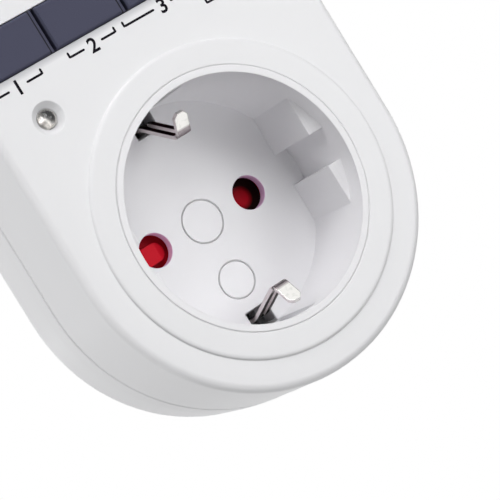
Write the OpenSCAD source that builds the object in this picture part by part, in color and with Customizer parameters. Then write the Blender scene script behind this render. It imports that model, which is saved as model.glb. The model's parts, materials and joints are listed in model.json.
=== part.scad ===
// Plug-in digital timer switch with a side-earth socket in front and its plug behind.
// Millimetres. +Z is up, the front faces -Y, and the plug pins point along +Y.
// The origin is the centre of the plug's mating face, on the common axis of plug and socket.

/* [Body] */
// Width of the body, and diameter of its round foot
body_w = 60; // [58:0.5:64]
// Height of the top edge above the plug axis
body_top = 90; // [88:1:100]
// Depth of the body from its front face to its rear face
body_d = 28.6; // [27:0.1:30]
// Radius of the two top corners
corner_r = 12; // [10:1:14]
// Thickness of the cover walls
wall = 2; // [1.6:0.1:2.2]
// How far the socket ring stands proud of the front face
ring_proud = 0.4; // [0.3:0.1:1]
// Radius at which the socket ring meets the front face
ring_r = 24.9; // [24.5:0.1:26]

/* [Socket] */
// Radius of the round socket recess
recess_r = 19.5; // [19.4:0.05:19.6]
// Depth of the recess from the ring to its floor
recess_d = 17.5; // [17:0.1:18]
// Distance between the two contact holes, and between the plug pins
pin_pitch = 19; // [18.8:0.1:19.2]
// Radius of a contact hole
hole_r = 2.8; // [2.7:0.05:3]
// Distance of the guide rib faces from the axis
rib_face_x = 17; // [16.8:0.1:17.4]
// Distance of the earth clip apex from the axis
clip_apex_z = 14; // [13.8:0.1:14.4]
// Width of the earth clip strip
clip_w = 2.5; // [2:0.1:3]

/* [Plug] */
// Depth of the plug boss behind the body
boss_d = 18; // [17.5:0.5:18.5]
// Radius of the plug boss
boss_r = 18.5; // [18:0.1:18.6]
// Radius of a plug pin
pin_r = 2.4; // [2.35:0.05:2.45]
// Length of the plug pins in front of the mating face
pin_len = 19; // [18.5:0.5:19.5]

/* [Keys] */
// Distance between key centres
key_pitch = 13.5; // [13.4:0.1:13.8]
// Width of a lower key
key_w = 13; // [12.4:0.05:13.1]
// Height of a lower key
key_h = 7.15; // [7:0.05:8]
// Height of the lower key row above the axis
key_z = 36.78; // [36.5:0.01:37]
// Height of the upper key row above the axis
small_key_z = 48.2; // [48:0.1:48.6]
// How far a key stands proud of the front face
key_proud = 0.3; // [0.1:0.05:0.5]
// Travel of a key
key_travel = 0.7; // [0.5:0.05:0.7]

/* [Display] */
// Height of the middle of the display above the axis
lcd_z = 67.5; // [67:0.1:68]
// Width of the clear opening
lcd_w = 42.4; // [40:0.2:43]
// Height of the clear opening
lcd_h = 20.2; // [18:0.2:21]

/* [Hidden] */
$fn = 96;
fit = 0.1;
slim = 0.05;

half_w = body_w / 2;
face_y = -boss_d - body_d;
ring_y = face_y - ring_proud;
rear_y = -boss_d;
split_y = -30.7;
inner_front_y = face_y + wall;
inner_rear_y = rear_y - wall;

// Socket insert, from front to back
insert_r = recess_r + 1.1;
bore_r = insert_r + fit;
floor_y = ring_y + recess_d;
floor_t = 1.8;
floor_back_y = floor_y + floor_t;
skirt_r = 18;
skirt_end_y = -23.4;
flange_r = 21.4;
flange_t = 1.5;
flange_y = floor_y + 0.1;
clamp_top_z = 8;
sleeve_r = 22;
pin_x = pin_pitch / 2;
rib_lo = 2.8;
rib_hi = 9.5;
rib_top_y = ring_y + 4.1;
rib_edge_y = ring_y + 3.1;
clip_slot_w = 4.3;
clip_slot_z = 15.9;
clip_room_w = 6.4;
clip_room_y = floor_y + 0.6;
groove_r = recess_r + 0.55;
groove_w = 4.7;
groove_end_y = ring_y + 3;

// Safety shutter behind the socket floor
shutter_r = 13.4;
shutter_y = -26;
shutter_back_y = -24.9;
shutter_turn = 36;
tongue_y = floor_back_y + 0.2;
tongue_w = 3.2;
tongue_z = -0.3;
tongue_tip_x = -8.8;
ramp_x = -8.4;
ramp_turn = 14;
pocket_r = 3.5;
pocket_y = -25.3;
hub_r = 3;
stud_r = 1.5;
stud_gap = 0.06;

// Contact carrier, sleeves and earth parts
carrier_y = -24.7;
carrier_t = 1.5;
carrier_back_y = carrier_y + carrier_t;
carrier_r = skirt_r - fit;
collar_r = 4.2;
collar_end_y = -19;
contact_r_in = 2.5;
contact_r_out = 3.1;
contact_end_y = -11;
clip_root_y = -22.5;
clip_root_z = 17.5;
clip_lip_z = 17.8;
clip_t = 0.6;
clip_slit = 0.5;
top_clip_lean = 0.9;
bridge_y = -20.9;
bridge_t = 0.8;

// Shallow bare field on the back
label_z = 52;
label_w = 40;
label_h = 44;
label_deep = 0.3;

// Plug
boss_back_y = inner_rear_y - slim;
boss_flange_t = 1;
boss_flange_r = insert_r;
strip_slot_z = 14.5;
boss_face_t = 3;
cavity_r = 16.3;
cavity_x = 14.7;
cavity_z = 13.5;
flat_x = 16.7;
flat_lo = 2.5;
channel_z = 15;
channel_w = 6.4;
strip_t = 0.8;
strip_w = 5.2;
pin_root_r = pin_r - 0.5;
pin_hole_r = pin_root_r + slim;
pin_seat_r = pin_r + 0.6;
pin_seat_d = 0.3;
head_r = 3.6;
head_back_y = -6;
stub_r = 1.8;
stub_end_y = -9.6;
french_z = 10;
french_r = 2.6;
earth_sleeve_in = 2.9;
earth_sleeve_out = 3.4;
earth_sleeve_end_y = -16.5;

// Boards, the display board in front and the power board behind
display_y = -38;
board_t = 1.6;
board_x = 26.4;
display_lo_z = 23.4;
display_hi_z = 80.9;
power_y = -24;
power_lo_z = 24.5;
power_hi_z = 80;
power_back_y = power_y + board_t;
display_back_y = display_y + board_t;

// Fasteners: [x, z] of each case screw, and of each board screw
case_screws_at = [[-17.7, -17.7], [17.7, -17.7], [-21.4, 84.1], [21.4, 84.1]];
display_screws_at = [[-13.6, 43.8], [13.6, 43.8], [-24, 29.4], [24, 29.4]];
power_screws_at = [[-23.5, 54], [23.5, 54], [0, 76.5]];
post_r = 2.8;
post_foot_r = post_r + 0.5;
post_join_y = split_y - 1.5;
screw_r = 1.35;
screw_tip_y = -40;
screw_head_r = 2.4;
screw_seat_y = inner_rear_y - 1.5;
screw_slot_w = 0.5;
screw_slot_l = 3;
board_screw_r = 1;
board_head_r = 1.9;
board_post_r = 2.2;

// Small parts in the front
led_x = -20.5;
led_z = 25.2;
led_r = 1.5;
led_dome_y = face_y + 1.15;
led_base_y = -41.2;
reset_x = 0;
reset_z = 52.3;
reset_r = 1.42;
reset_flange_r = 1.8;
reset_end_y = -40.7;
reset_front_y = face_y + 0.6;
small_key_w = 10;
small_key_h = 5.4;
key_gap = 0.15;
key_front_y = face_y - key_proud;
key_back_y = -42.6;
key_lip = 1.1;
key_bevel = 0.3;
key_row_x = -0.3;
ledge_w = 0.75;
ledge_d = 0.25;
stem_r = 1.5;
stem_end_y = display_y - key_travel - 0.35;
mat_y = -39.3;
well_r = 2.4;
lens_over = 1.9;
lens_t = 1.05;
glass_w = 45;
glass_h = 24;
glass_y = -43.1;
glass_t = 2.2;

// Relay on the power board: its middle, size and armature hinge
relay_x = -10;
relay_z = 44.3;
relay_l = 28;
relay_w = 12.6;
relay_h = 10.8;
relay_wall = 0.8;
relay_back_y = power_y - slim;
relay_front_y = relay_back_y - relay_h;
coil_y = -29.8;
coil_x0 = -21.6;
coil_l = 13;
arm_x = -6.2;
arm_y = -25.9;
chip_x = -2;
chip_z = 57;

cover_white = [0.90, 0.90, 0.92];
insert_white = [0.86, 0.86, 0.88];
slate = [0.33, 0.35, 0.42];
shutter_red = [0.78, 0.10, 0.17];
nickel = [0.80, 0.80, 0.80];
brass = [0.80, 0.66, 0.36];
board_green = [0.16, 0.42, 0.24];
dark = [0.12, 0.12, 0.13];

// ---- Helpers ----

// Turns a solid made about Z so that its axis lies along Y, with its height as Y.
module along_y() {
    rotate([-90, 0, 0]) children();
}

// A cylinder along Y from y0 to y1 at [x, z].
module rod(x, z, y0, y1, r) {
    translate([x, y0, z]) along_y() cylinder(r = r, h = y1 - y0);
}

// A tube along Y from y0 to y1 at [x, z].
module tube(x, z, y0, y1, r_out, r_in) {
    difference() {
        rod(x, z, y0, y1, r_out);
        rod(x, z, y0 - 1, y1 + 1, r_in);
    }
}

// A box between two corners.
module block(lo, hi) {
    translate(lo) cube(hi - lo);
}

// A flat plate in the X-Z plane with rounded corners, from y0 to y1, centred on [x, z].
module plate(x, z, w, h, r, y0, y1) {
    translate([x, y0, z]) along_y() linear_extrude(y1 - y0) union() {
        square([w - 2 * r, h], center = true);
        square([w, h - 2 * r], center = true);
        for (sx = [-1, 1], sz = [-1, 1])
            translate([sx * (w / 2 - r), sz * (h / 2 - r)]) circle(r = r);
    }
}

// Half outline of a body: [inset from the widest outline, y] points, from front to back.
function half_outline(r, edge) = concat(
    [[0, edge[0][1]]],
    [for (p = edge) [r - p[0], p[1]]],
    [[0, edge[len(edge) - 1][1]]]);

function whole_outline(r, edge) = concat(
    [for (p = edge) [r - p[0], p[1]]],
    [for (i = [len(edge) - 1:-1:0]) [edge[i][0] - r, edge[i][1]]]);

// The body's form: a round foot about the socket axis, straight sides and rounded top corners.
module form(edge) {
    along_y() rotate_extrude(angle = 180) polygon(half_outline(half_w, edge));
    linear_extrude(body_top - corner_r) polygon(whole_outline(half_w, edge));
    translate([0, 0, body_top - corner_r]) {
        rotate([0, -90, 0]) linear_extrude(2 * (half_w - corner_r), center = true)
            polygon(half_outline(corner_r, edge));
        for (turn = [0, 180]) rotate([0, 0, turn]) mirror([0, turn / 180, 0])
            translate([half_w - corner_r, 0, 0]) along_y() rotate([0, 0, -90])
                rotate_extrude(angle = 90) polygon(half_outline(corner_r, edge));
    }
}

// Points of a rounded edge from the face to the side.
function edge_arc(inset, y, r, into, steps = 6) = [for (i = [0:steps])
    [inset + r * (1 - sin(90 * i / steps)), y + into * r * (1 - cos(90 * i / steps))]];

function reversed(list) = [for (i = [len(list) - 1:-1:0]) list[i]];

// Offsets a centre line of 2D points to both sides and closes it, for bent strips.
function heading(pts, i) =
    let (a = pts[max(i - 1, 0)], b = pts[min(i + 1, len(pts) - 1)], d = b - a) d / norm(d);
function strip_outline(pts, t) = concat(
    [for (i = [0:len(pts) - 1]) let (h = heading(pts, i)) pts[i] + [-h[1], h[0]] * t / 2],
    [for (i = [len(pts) - 1:-1:0]) let (h = heading(pts, i)) pts[i] - [-h[1], h[0]] * t / 2]);

// A round wire through a list of points, with a ring of sides at each point.
function unit(v) = v / norm(v);
function ring_at(pts, i, r, sides) =
    let (d = unit(pts[min(i + 1, len(pts) - 1)] - pts[max(i - 1, 0)]),
         a = unit(cross(d, abs(d[0]) < 0.7 ? [1, 0, 0] : [0, 0, 1])),
         b = cross(d, a))
    [for (k = [0:sides - 1]) pts[i] + r * (cos(360 * k / sides) * a + sin(360 * k / sides) * b)];
module wire(pts, r, sides = 8) {
    n = len(pts);
    points = [for (i = [0:n - 1]) each ring_at(pts, i, r, sides)];
    walls = [for (i = [0:n - 2], k = [0:sides - 1])
        [i * sides + k, i * sides + (k + 1) % sides,
         (i + 1) * sides + (k + 1) % sides, (i + 1) * sides + k]];
    near = [[for (k = [sides - 1:-1:0]) k]];
    far = [[for (k = [0:sides - 1]) (n - 1) * sides + k]];
    polyhedron(points, concat(walls, near, far));
}

// ---- Covers ----

side_slope = 0.28;
front_round = 1.2;
rear_round = 2;
groove_in = 0.25;
front_edge = concat(
    edge_arc(side_slope, face_y, front_round, 1),
    [[0, split_y - 0.4], [groove_in, split_y - fit]]);
front_hollow = [[wall + 0.8, inner_front_y], [wall, inner_front_y + 0.8], [wall, split_y + 1]];
rear_edge = concat(
    [[groove_in, split_y + fit], [0, split_y + 0.4], [0, split_y + 3.5]],
    reversed(edge_arc(0.4, rear_y, rear_round, -1)));
rear_hollow = [[wall + 1, split_y - 2.5], [wall + 1, split_y + 1.9], [wall, split_y + 2.9],
    [wall, inner_rear_y - 1], [wall + 0.8, inner_rear_y]];
lip_edge = [[wall + fit, split_y - 1.5], [wall + fit, split_y + 2]];

// Profile of the proud ring, with a soft step down to the face.
ring_profile = [[bore_r, face_y + 1], [bore_r, ring_y + 0.12], [bore_r + 0.12, ring_y],
    [ring_r - 0.6, ring_y], [ring_r - 0.3, ring_y + 0.15 * ring_proud],
    [ring_r - 0.12, ring_y + 0.45 * ring_proud], [ring_r, face_y], [ring_r, face_y + 1]];

function key_x(i) = key_row_x + (i - 1.5) * key_pitch;

module key_openings() {
    row_w = 3 * key_pitch + key_w + 2 * key_gap;
    plate(key_row_x, key_z, row_w, key_h + 2 * key_gap, 0.6, face_y - 1, inner_front_y + 1);
    for (i = [0:3])
        plate(key_x(i), small_key_z, small_key_w + 2 * key_gap, small_key_h + 2 * key_gap,
            1.15, face_y - 1, inner_front_y + 1);
}

module display_opening() {
    plate(0, lcd_z, lcd_w, lcd_h, 0.8, face_y - 1, inner_front_y + 1);
    plate(0, lcd_z, lcd_w + 2 * lens_over, lcd_h + 2 * lens_over, 1.6,
        face_y - 1, face_y + lens_t + slim);
}

module led_opening() {
    rod(led_x, led_z, face_y - 1, -40, led_r + 0.15);
    translate([led_x, face_y, led_z]) along_y() translate([0, 0, -0.01])
        cylinder(r1 = 2.6, r2 = led_r + 0.15, h = 0.9);
}

module front_cover() {
    color(cover_white) difference() {
        union() {
            difference() {
                form(front_edge);
                form(front_hollow);
            }
            along_y() rotate_extrude() polygon(ring_profile);
            rod(0, 0, face_y + 0.5, flange_y - 0.2, sleeve_r);
            for (p = case_screws_at)
                rod(p[0], p[1], face_y + 1, post_join_y - fit, post_r - 0.1);
            for (p = display_screws_at)
                rod(p[0], p[1], face_y + 1, display_y - slim, board_post_r - 0.4);
            rod(led_x, led_z, face_y + 1, inner_front_y + 1.4, 2.7);
        }
        rod(0, 0, ring_y - 1, flange_y, bore_r);
        key_openings();
        display_opening();
        led_opening();
        rod(reset_x, reset_z, face_y - 1, inner_front_y + 1, reset_r + 0.08);
        for (p = case_screws_at) rod(p[0], p[1], screw_tip_y - 1, split_y, screw_r + slim);
        for (p = display_screws_at) rod(p[0], p[1], -43, display_y, board_screw_r - 0.1);
    }
}

// The boss with its flange behind the rear wall, which is open where the wires and earth pass.
module plug_boss() {
    along_y() rotate_extrude() polygon([[0, boss_back_y], [boss_r, boss_back_y],
        [boss_r, -1.2], [boss_r - 0.35, -0.35], [boss_r - 1.2, 0], [0, 0]]);
    difference() {
        tube(0, 0, boss_back_y - boss_flange_t, boss_back_y, boss_flange_r, cavity_r);
        block([-half_w, rear_y - 5, clamp_top_z], [half_w, rear_y, half_w]);
        block([-channel_w / 2, rear_y - 5, -half_w], [channel_w / 2, rear_y, 0]);
    }
}

// What the boss leaves free: guide flats beside a rib, and the earth strip channels.
module boss_cuts() {
    for (sx = [-1, 1], sz = [-1, 1])
        block([sx > 0 ? flat_x : -boss_r - 1, rear_y, sz > 0 ? flat_lo : -boss_r],
              [sx > 0 ? boss_r + 1 : -flat_x, 1, sz > 0 ? boss_r : -flat_lo]);
    for (sz = [-1, 1])
        block([-channel_w / 2, rear_y, sz > 0 ? channel_z : -boss_r - 1],
              [channel_w / 2, 1, sz > 0 ? boss_r + 1 : -channel_z]);
}

module boss_hollow() {
    intersection() {
        rod(0, 0, inner_rear_y - 1, -boss_face_t, cavity_r);
        block([-cavity_x, inner_rear_y - 2, -cavity_z], [cavity_x, 0, cavity_z]);
    }
}

// Ring that holds the socket insert's flange, open at the top where the wires pass.
module insert_clamp() {
    difference() {
        tube(0, 0, flange_y + flange_t + slim, inner_rear_y + 0.5, flange_r + fit, bore_r);
        block([-half_w, flange_y, clamp_top_z], [half_w, rear_y, half_w]);
    }
}

module rear_cover() {
    color(cover_white) difference() {
        union() {
            difference() {
                union() {
                    form(rear_edge);
                    form(lip_edge);
                }
                form(rear_hollow);
            }
            for (p = case_screws_at) {
                rod(p[0], p[1], post_join_y, rear_y - 0.5, post_r);
                rod(p[0], p[1], screw_seat_y - 1, rear_y - 0.5, post_foot_r);
            }
            insert_clamp();
            for (p = power_screws_at)
                rod(p[0], p[1], power_back_y + slim, rear_y - 0.5, board_post_r);
        }
        rod(0, 0, inner_rear_y - 1, rear_y + 1, boss_r + fit);
        for (p = case_screws_at) {
            rod(p[0], p[1], split_y - 3, rear_y + 1, screw_r + 0.35);
            rod(p[0], p[1], screw_seat_y, rear_y + 1, screw_head_r + fit);
        }
        for (p = power_screws_at) rod(p[0], p[1], power_back_y - 1, -19, board_screw_r - 0.1);
        plate(0, label_z, label_w, label_h, 2, rear_y - label_deep, rear_y + 1);
    }
}

module plug_body() {
    color(cover_white) difference() {
        plug_boss();
        boss_cuts();
        boss_hollow();
        for (sx = [-1, 1]) {
            rod(sx * pin_x, 0, -boss_face_t - 1, 1, pin_hole_r);
            rod(sx * pin_x, 0, -pin_seat_d, 1, pin_seat_r);
        }
        rod(0, french_z, -boss_face_t - 1, 1, french_r);
        for (sz = [-1, 1])
            block([-strip_w / 2 - fit, boss_back_y - 2, sz * strip_slot_z - 0.9],
                  [strip_w / 2 + fit, rear_y + 1.2, sz * strip_slot_z + 0.9]);
    }
}

// ---- Socket ----

// Each rib rises from its face to the wall in a hollow curve.
module guide_ribs() {
    rise = rib_edge_y - rib_top_y;
    outline = concat(
        [for (a = [0:18:90]) [rib_face_x + (recess_r - rib_face_x) * sin(a),
                              rib_top_y + rise * (1 - cos(a))]],
        [[insert_r - 0.2, rib_edge_y], [insert_r - 0.2, floor_y + 0.5],
         [rib_face_x, floor_y + 0.5]]);
    for (turn = [0, 180], sz = [0, 1]) rotate([0, turn, 0]) mirror([0, 0, sz])
        translate([0, 0, rib_lo]) linear_extrude(rib_hi - rib_lo) polygon(outline);
}

module socket_insert() {
    color(insert_white) difference() {
        union() {
            tube(0, 0, ring_y, floor_y + 1, insert_r, recess_r);
            intersection() {
                guide_ribs();
                rod(0, 0, ring_y, skirt_end_y, insert_r - 0.1);
            }
            rod(0, 0, floor_y, floor_back_y, insert_r);
            rod(0, 0, flange_y, flange_y + flange_t, flange_r);
            tube(0, 0, floor_back_y - 0.5, skirt_end_y, insert_r, skirt_r);
        }
        for (sx = [-1, 1]) rod(sx * pin_x, 0, floor_y - 1, floor_back_y + 1, hole_r);
        for (sz = [-1, 1]) {
            intersection() {
                rod(0, 0, groove_end_y, floor_y, groove_r);
                block([-groove_w / 2, ring_y, sz > 0 ? 15 : -22],
                      [groove_w / 2, 0, sz > 0 ? 22 : -15]);
            }
            block([-clip_slot_w / 2, floor_y - 1, sz > 0 ? clip_slot_z : -recess_r],
                  [clip_slot_w / 2, skirt_end_y + 1, sz > 0 ? recess_r : -clip_slot_z]);
            // Wider room behind the thin edge of the slot
            block([-clip_room_w / 2, clip_room_y, sz > 0 ? clip_slot_z - 1 : -recess_r + 0.4],
                  [clip_room_w / 2, skirt_end_y + 1, sz > 0 ? recess_r - 0.4 : 1 - clip_slot_z]);
        }
    }
}

module safety_shutter() {
    color(shutter_red) difference() {
        union() {
            rod(0, 0, shutter_y, shutter_back_y, shutter_r);
            rod(0, 0, tongue_y, shutter_back_y, hub_r);
            block([-12.2, tongue_y, tongue_z - tongue_w / 2],
                  [tongue_tip_x, shutter_back_y, tongue_z + tongue_w / 2]);
            rod(tongue_tip_x, tongue_z, tongue_y, shutter_back_y, tongue_w / 2);
        }
        rod(0, 0, -30, -20, stud_r + stud_gap);
        for (turn = [0, 180]) rotate([0, turn + shutter_turn, 0])
            rod(pin_x, 0, -30, -20, hole_r);
        // Deeper pocket under the second contact hole
        rod(pin_x, 0, tongue_y, pocket_y, pocket_r);
        // The ramp that a plug pin pushes on
        translate([ramp_x, tongue_y, -5]) rotate([0, 0, ramp_turn]) block([0, -3, 0], [4, 0, 10]);
    }
}

spring_turns = 2.5;
spring_r = 3.9;
spring_wire_r = 0.2;
module shutter_spring() {
    steps = 12;
    coil = [for (i = [0:steps * spring_turns]) let (a = 360 * i / steps)
        [spring_r * cos(a), -27.3 + 0.42 * i / steps, spring_r * sin(a)]];
    color(nickel) wire(coil, spring_wire_r, 6);
}

module contact_carrier() {
    color(insert_white) difference() {
        union() {
            rod(0, 0, carrier_y, carrier_back_y, carrier_r);
            for (sx = [-1, 1]) rod(sx * pin_x, 0, carrier_y, collar_end_y, collar_r);
            rod(0, 0, tongue_y + 0.1, carrier_back_y, stud_r);
        }
        for (sx = [-1, 1]) {
            rod(sx * pin_x, 0, carrier_y - 1, carrier_back_y, hole_r);
            rod(sx * pin_x, 0, carrier_back_y - slim, collar_end_y + 1, contact_r_out + slim);
        }
        for (sz = [-1, 1])
            block([-clip_w / 2 - 0.4, carrier_y - 1, sz > 0 ? 16.4 : -19],
                  [clip_w / 2 + 0.4, carrier_back_y + 1, sz > 0 ? 19 : -16.4]);
    }
}

module contact_sleeve(x) {
    difference() {
        rod(x, 0, carrier_back_y, contact_end_y, contact_r_out);
        rod(x, 0, carrier_back_y - 1, contact_end_y + 1, contact_r_in);
        // Spring slots, so that the sleeve grips the pin
        block([x - 0.3, carrier_back_y + 6, -5], [x + 0.3, contact_end_y + 1, 5]);
    }
}

module live_contact() {
    color(brass) {
        contact_sleeve(-pin_x);
        block([-pin_x - 1.6, -14, contact_r_out - 0.2], [-pin_x + 1, -11.4, contact_r_out + 0.6]);
    }
}

module neutral_contact() {
    link_z = contact_r_out + 0.1;
    color(brass) {
        contact_sleeve(pin_x);
        block([pin_x + 0.4, -14, link_z - 0.5], [pin_x + 2.2, -9, link_z + 0.3]);
        difference() {
            block([pin_x - 2.4, -9.6, -2.6], [pin_x + 2.4, -9, link_z + 0.3]);
            rod(pin_x, 0, -11, -8, stub_r + slim);
        }
    }
}

// Centre line of an earth clip as [y, z]: straight root, leg, bend and flared lip.
clip_line = [[clip_root_y, clip_root_z], [floor_y + 0.6, clip_root_z], [floor_y - 0.6, 17.25],
    [ring_y + 7.2, clip_apex_z + 0.45], [ring_y + 6.3, clip_apex_z + 0.22],
    [ring_y + 5.5, clip_apex_z + 0.38], [ring_y + 4.9, clip_apex_z + 0.9],
    [ring_y + 3.5, 17.1], [ring_y + 3.1, clip_lip_z]];

// The same line leaning further in by lean at the bend.
function leaning(lean) = [for (p = clip_line)
    [p[0], p[1] - lean * max(0, floor_y - p[0]) / (floor_y - ring_y - 6)]];

module earth_clip(lean) {
    line = leaning(lean);
    tip_z = line[len(line) - 1][1] - clip_w / 2;
    intersection() {
        difference() {
            rotate([90, 0, 90]) linear_extrude(clip_w, center = true)
                polygon(strip_outline(line, clip_t));
            block([-clip_slit / 2, ring_y + 7.6, clip_apex_z - lean - 1],
                  [clip_slit / 2, floor_y - 0.2, 19]);
        }
        union() {
            block([-clip_w, ring_y, 0], [clip_w, 0, tip_z]);
            block([-clip_w, ring_y + 8, 0], [clip_w, 0, 20]);
            rod(0, tip_z, ring_y, ring_y + 9, clip_w / 2);
        }
    }
}

module earth_clip_top() {
    color(nickel) earth_clip(top_clip_lean);
}

module earth_clip_bottom() {
    color(nickel) mirror([0, 0, 1]) earth_clip(0);
}

module earth_bridge() {
    color(nickel) {
        block([-2.4, bridge_y, -clip_root_z - clip_t / 2],
              [2.4, bridge_y + bridge_t, clip_root_z + clip_t / 2]);
        for (sz = [-1, 1])
            block([-clip_w / 2, clip_root_y + 0.08, sz * clip_root_z - clip_t / 2],
                  [clip_w / 2, bridge_y + bridge_t, sz * clip_root_z + clip_t / 2]);
    }
}

// ---- Plug ----

module plug_pin(x) {
    color(nickel) {
        rod(x, 0, slim - pin_seat_d, pin_len - pin_r, pin_r);
        translate([x, pin_len - pin_r, 0]) sphere(r = pin_r);
        rod(x, 0, -boss_face_t - 1, 0, pin_root_r);
        rod(x, 0, head_back_y, -boss_face_t - slim, head_r);
        rod(x, 0, stub_end_y, head_back_y, stub_r);
    }
}

module plug_pin_live() {
    plug_pin(-pin_x);
}

module plug_pin_neutral() {
    plug_pin(pin_x);
}

module pin_clamp() {
    color(insert_white) difference() {
        plate(0, 0, 27, 6.4, 1.5, head_back_y - 1.9, head_back_y - slim);
        for (sx = [-1, 1]) rod(sx * pin_x, 0, -9, -5, stub_r + slim);
    }
}

// One strip in each channel: a tail inside the boss, a bend over its edge and the contact face.
module plug_earth_strips() {
    back = rear_y + 0.15;
    color(nickel) for (sz = [0, 1]) mirror([0, 0, sz]) {
        block([-strip_w / 2, back, channel_z + fit], [strip_w / 2, -1.4, channel_z + strip_t]);
        block([-strip_w / 2, back, 13.9], [strip_w / 2, back + strip_t, channel_z + strip_t]);
        block([-strip_w / 2, bridge_y + bridge_t + slim, 13.9],
              [strip_w / 2, back + strip_t, 13.9 + strip_t]);
    }
}

module earth_pin_socket() {
    color(brass) difference() {
        union() {
            rod(0, french_z, earth_sleeve_end_y, -boss_face_t - slim, earth_sleeve_out);
            block([-2, bridge_y + bridge_t + slim, french_z - earth_sleeve_out],
                  [2, earth_sleeve_end_y + 0.5, french_z - earth_sleeve_out + 0.6]);
        }
        rod(0, french_z, earth_sleeve_end_y + 0.6, 0, earth_sleeve_in);
    }
}

// ---- Keys ----

// A key cap with bevelled edges, a lower ledge along its right edge, a retaining lip and a stem.
module key(x, z, w, h) {
    x_outline = [[-w / 2, key_back_y], [-w / 2, key_front_y + key_bevel],
        [-w / 2 + key_bevel, key_front_y], [w / 2 - ledge_w, key_front_y],
        [w / 2 - ledge_w, key_front_y + ledge_d], [w / 2 - 0.15, key_front_y + ledge_d],
        [w / 2, key_front_y + ledge_d + 0.15], [w / 2, key_back_y]];
    z_outline = [[-h / 2, key_back_y], [-h / 2, key_front_y + key_bevel],
        [-h / 2 + key_bevel, key_front_y], [h / 2 - key_bevel, key_front_y],
        [h / 2, key_front_y + key_bevel], [h / 2, key_back_y]];
    color(slate) {
        translate([x, 0, z]) intersection() {
            linear_extrude(h, center = true) polygon(x_outline);
            rotate([0, -90, 0]) linear_extrude(w, center = true) polygon(z_outline);
        }
        block([x - w / 2 + 0.3, inner_front_y + 0.15, z - h / 2 - key_lip],
              [x + w / 2 - 0.3, key_back_y, z + h / 2 + key_lip]);
        rod(x, z, key_back_y - 0.2, stem_end_y, stem_r);
    }
}

module clock_key() {
    key(key_x(0), key_z, key_w, key_h);
}

module timer_key() {
    key(key_x(1), key_z, key_w, key_h);
}

module mode_key() {
    key(key_x(2), key_z, key_w, key_h);
}

module recall_key() {
    key(key_x(3), key_z, key_w, key_h);
}

module small_key(i) {
    x = key_x(i);
    color(slate) {
        plate(x, small_key_z, small_key_w, small_key_h, 1, key_front_y + key_bevel, key_back_y);
        plate(x, small_key_z, small_key_w - 2 * key_bevel, small_key_h - 2 * key_bevel, 0.8,
            key_front_y, key_back_y);
        block([x - small_key_w / 2 - 0.9, inner_front_y + 0.15, small_key_z - 2.2],
              [x + small_key_w / 2 + 0.9, key_back_y, small_key_z + 2.2]);
        rod(x, small_key_z, key_back_y - 0.2, stem_end_y, stem_r);
    }
}

module week_key() {
    small_key(0);
}

module hour_key() {
    small_key(1);
}

module minute_key() {
    small_key(2);
}

module random_key() {
    small_key(3);
}

module reset_button() {
    color(slate) {
        rod(reset_x, reset_z, reset_front_y, reset_end_y, reset_r);
        rod(reset_x, reset_z, inner_front_y + 0.15, inner_front_y + 1.3, reset_flange_r);
    }
}

module reset_switch() {
    color(dark) {
        plate(reset_x, reset_z, 3.4, 3.2, 0.4, display_y - 2, display_y - slim);
        rod(reset_x, reset_z, display_y - 2.15, display_y - 1, 0.9);
    }
}

module key_mat() {
    color([0.75, 0.75, 0.75]) difference() {
        union() {
            plate(0, 42, 52, 21.6, 1, mat_y, display_y - slim);
            for (i = [0:3]) {
                rod(key_x(i), key_z, mat_y - 1.2, mat_y + 0.5, 3.6);
                rod(key_x(i), small_key_z, mat_y - 1.2, mat_y + 0.5, 3.6);
            }
        }
        for (i = [0:3]) {
            rod(key_x(i), key_z, mat_y - 2, display_y + 1, well_r);
            rod(key_x(i), small_key_z, mat_y - 2, display_y + 1, well_r);
        }
        for (p = display_screws_at) rod(p[0], p[1], mat_y - 2, display_y + 1, 2.1);
        // Room for the reset switch
        block([reset_x - 2.2, mat_y - 2, reset_z - 2.1], [reset_x + 2.2, display_y + 1, 54]);
    }
}

module status_led() {
    color([0.93, 0.95, 0.96]) {
        rod(led_x, led_z, led_dome_y, led_base_y, led_r);
        translate([led_x, led_dome_y, led_z]) sphere(r = led_r);
        rod(led_x, led_z, led_base_y - 0.8, led_base_y, led_r + 0.4);
    }
    lead = 0.25;
    color(nickel) for (dx = [-0.64, 0.64])
        block([led_x + dx - lead, led_base_y - fit, led_z - lead],
              [led_x + dx + lead, display_y - slim, led_z + lead]);
}

// ---- Display ----

module display_window() {
    color([0.75, 0.80, 0.82, 0.5])
        plate(0, lcd_z, lcd_w + 2 * lens_over - 0.2, lcd_h + 2 * lens_over - 0.2, 1.5,
            face_y, face_y + lens_t);
}

module lcd_frame() {
    color(dark) difference() {
        plate(0, lcd_z, glass_w + 3.6, glass_h + 2.2, 1, inner_front_y + fit, display_y - slim);
        plate(0, lcd_z, glass_w + 0.2, glass_h + 0.2, 0.3, glass_y - slim, display_y + 1);
        plate(0, lcd_z, lcd_w, lcd_h, 0.6, face_y, glass_y + 1);
    }
}

module lcd_glass() {
    color([0.62, 0.68, 0.62])
        plate(0, lcd_z, glass_w, glass_h, 0.2, glass_y, glass_y + glass_t);
}

module lcd_connectors() {
    for (sz = [-1, 1])
        color([0.9, 0.55, 0.6])
            block([-21, glass_y + glass_t, lcd_z + sz * 10.6 - 1],
                  [21, display_y - slim, lcd_z + sz * 10.6 + 1]);
}

// ---- Boards ----

module display_board() {
    color(board_green) difference() {
        block([-board_x, display_y, display_lo_z], [board_x, display_back_y, display_hi_z]);
        for (p = display_screws_at)
            rod(p[0], p[1], display_y - 1, display_back_y + 1, board_screw_r + 0.1);
    }
}

module controller_chip() {
    color(dark) {
        rod(chip_x, chip_z, display_back_y + slim, display_back_y + 0.7, 5.5);
        rod(chip_x, chip_z, display_back_y + 0.6, display_back_y + 1.2, 4.2);
    }
}

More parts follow.
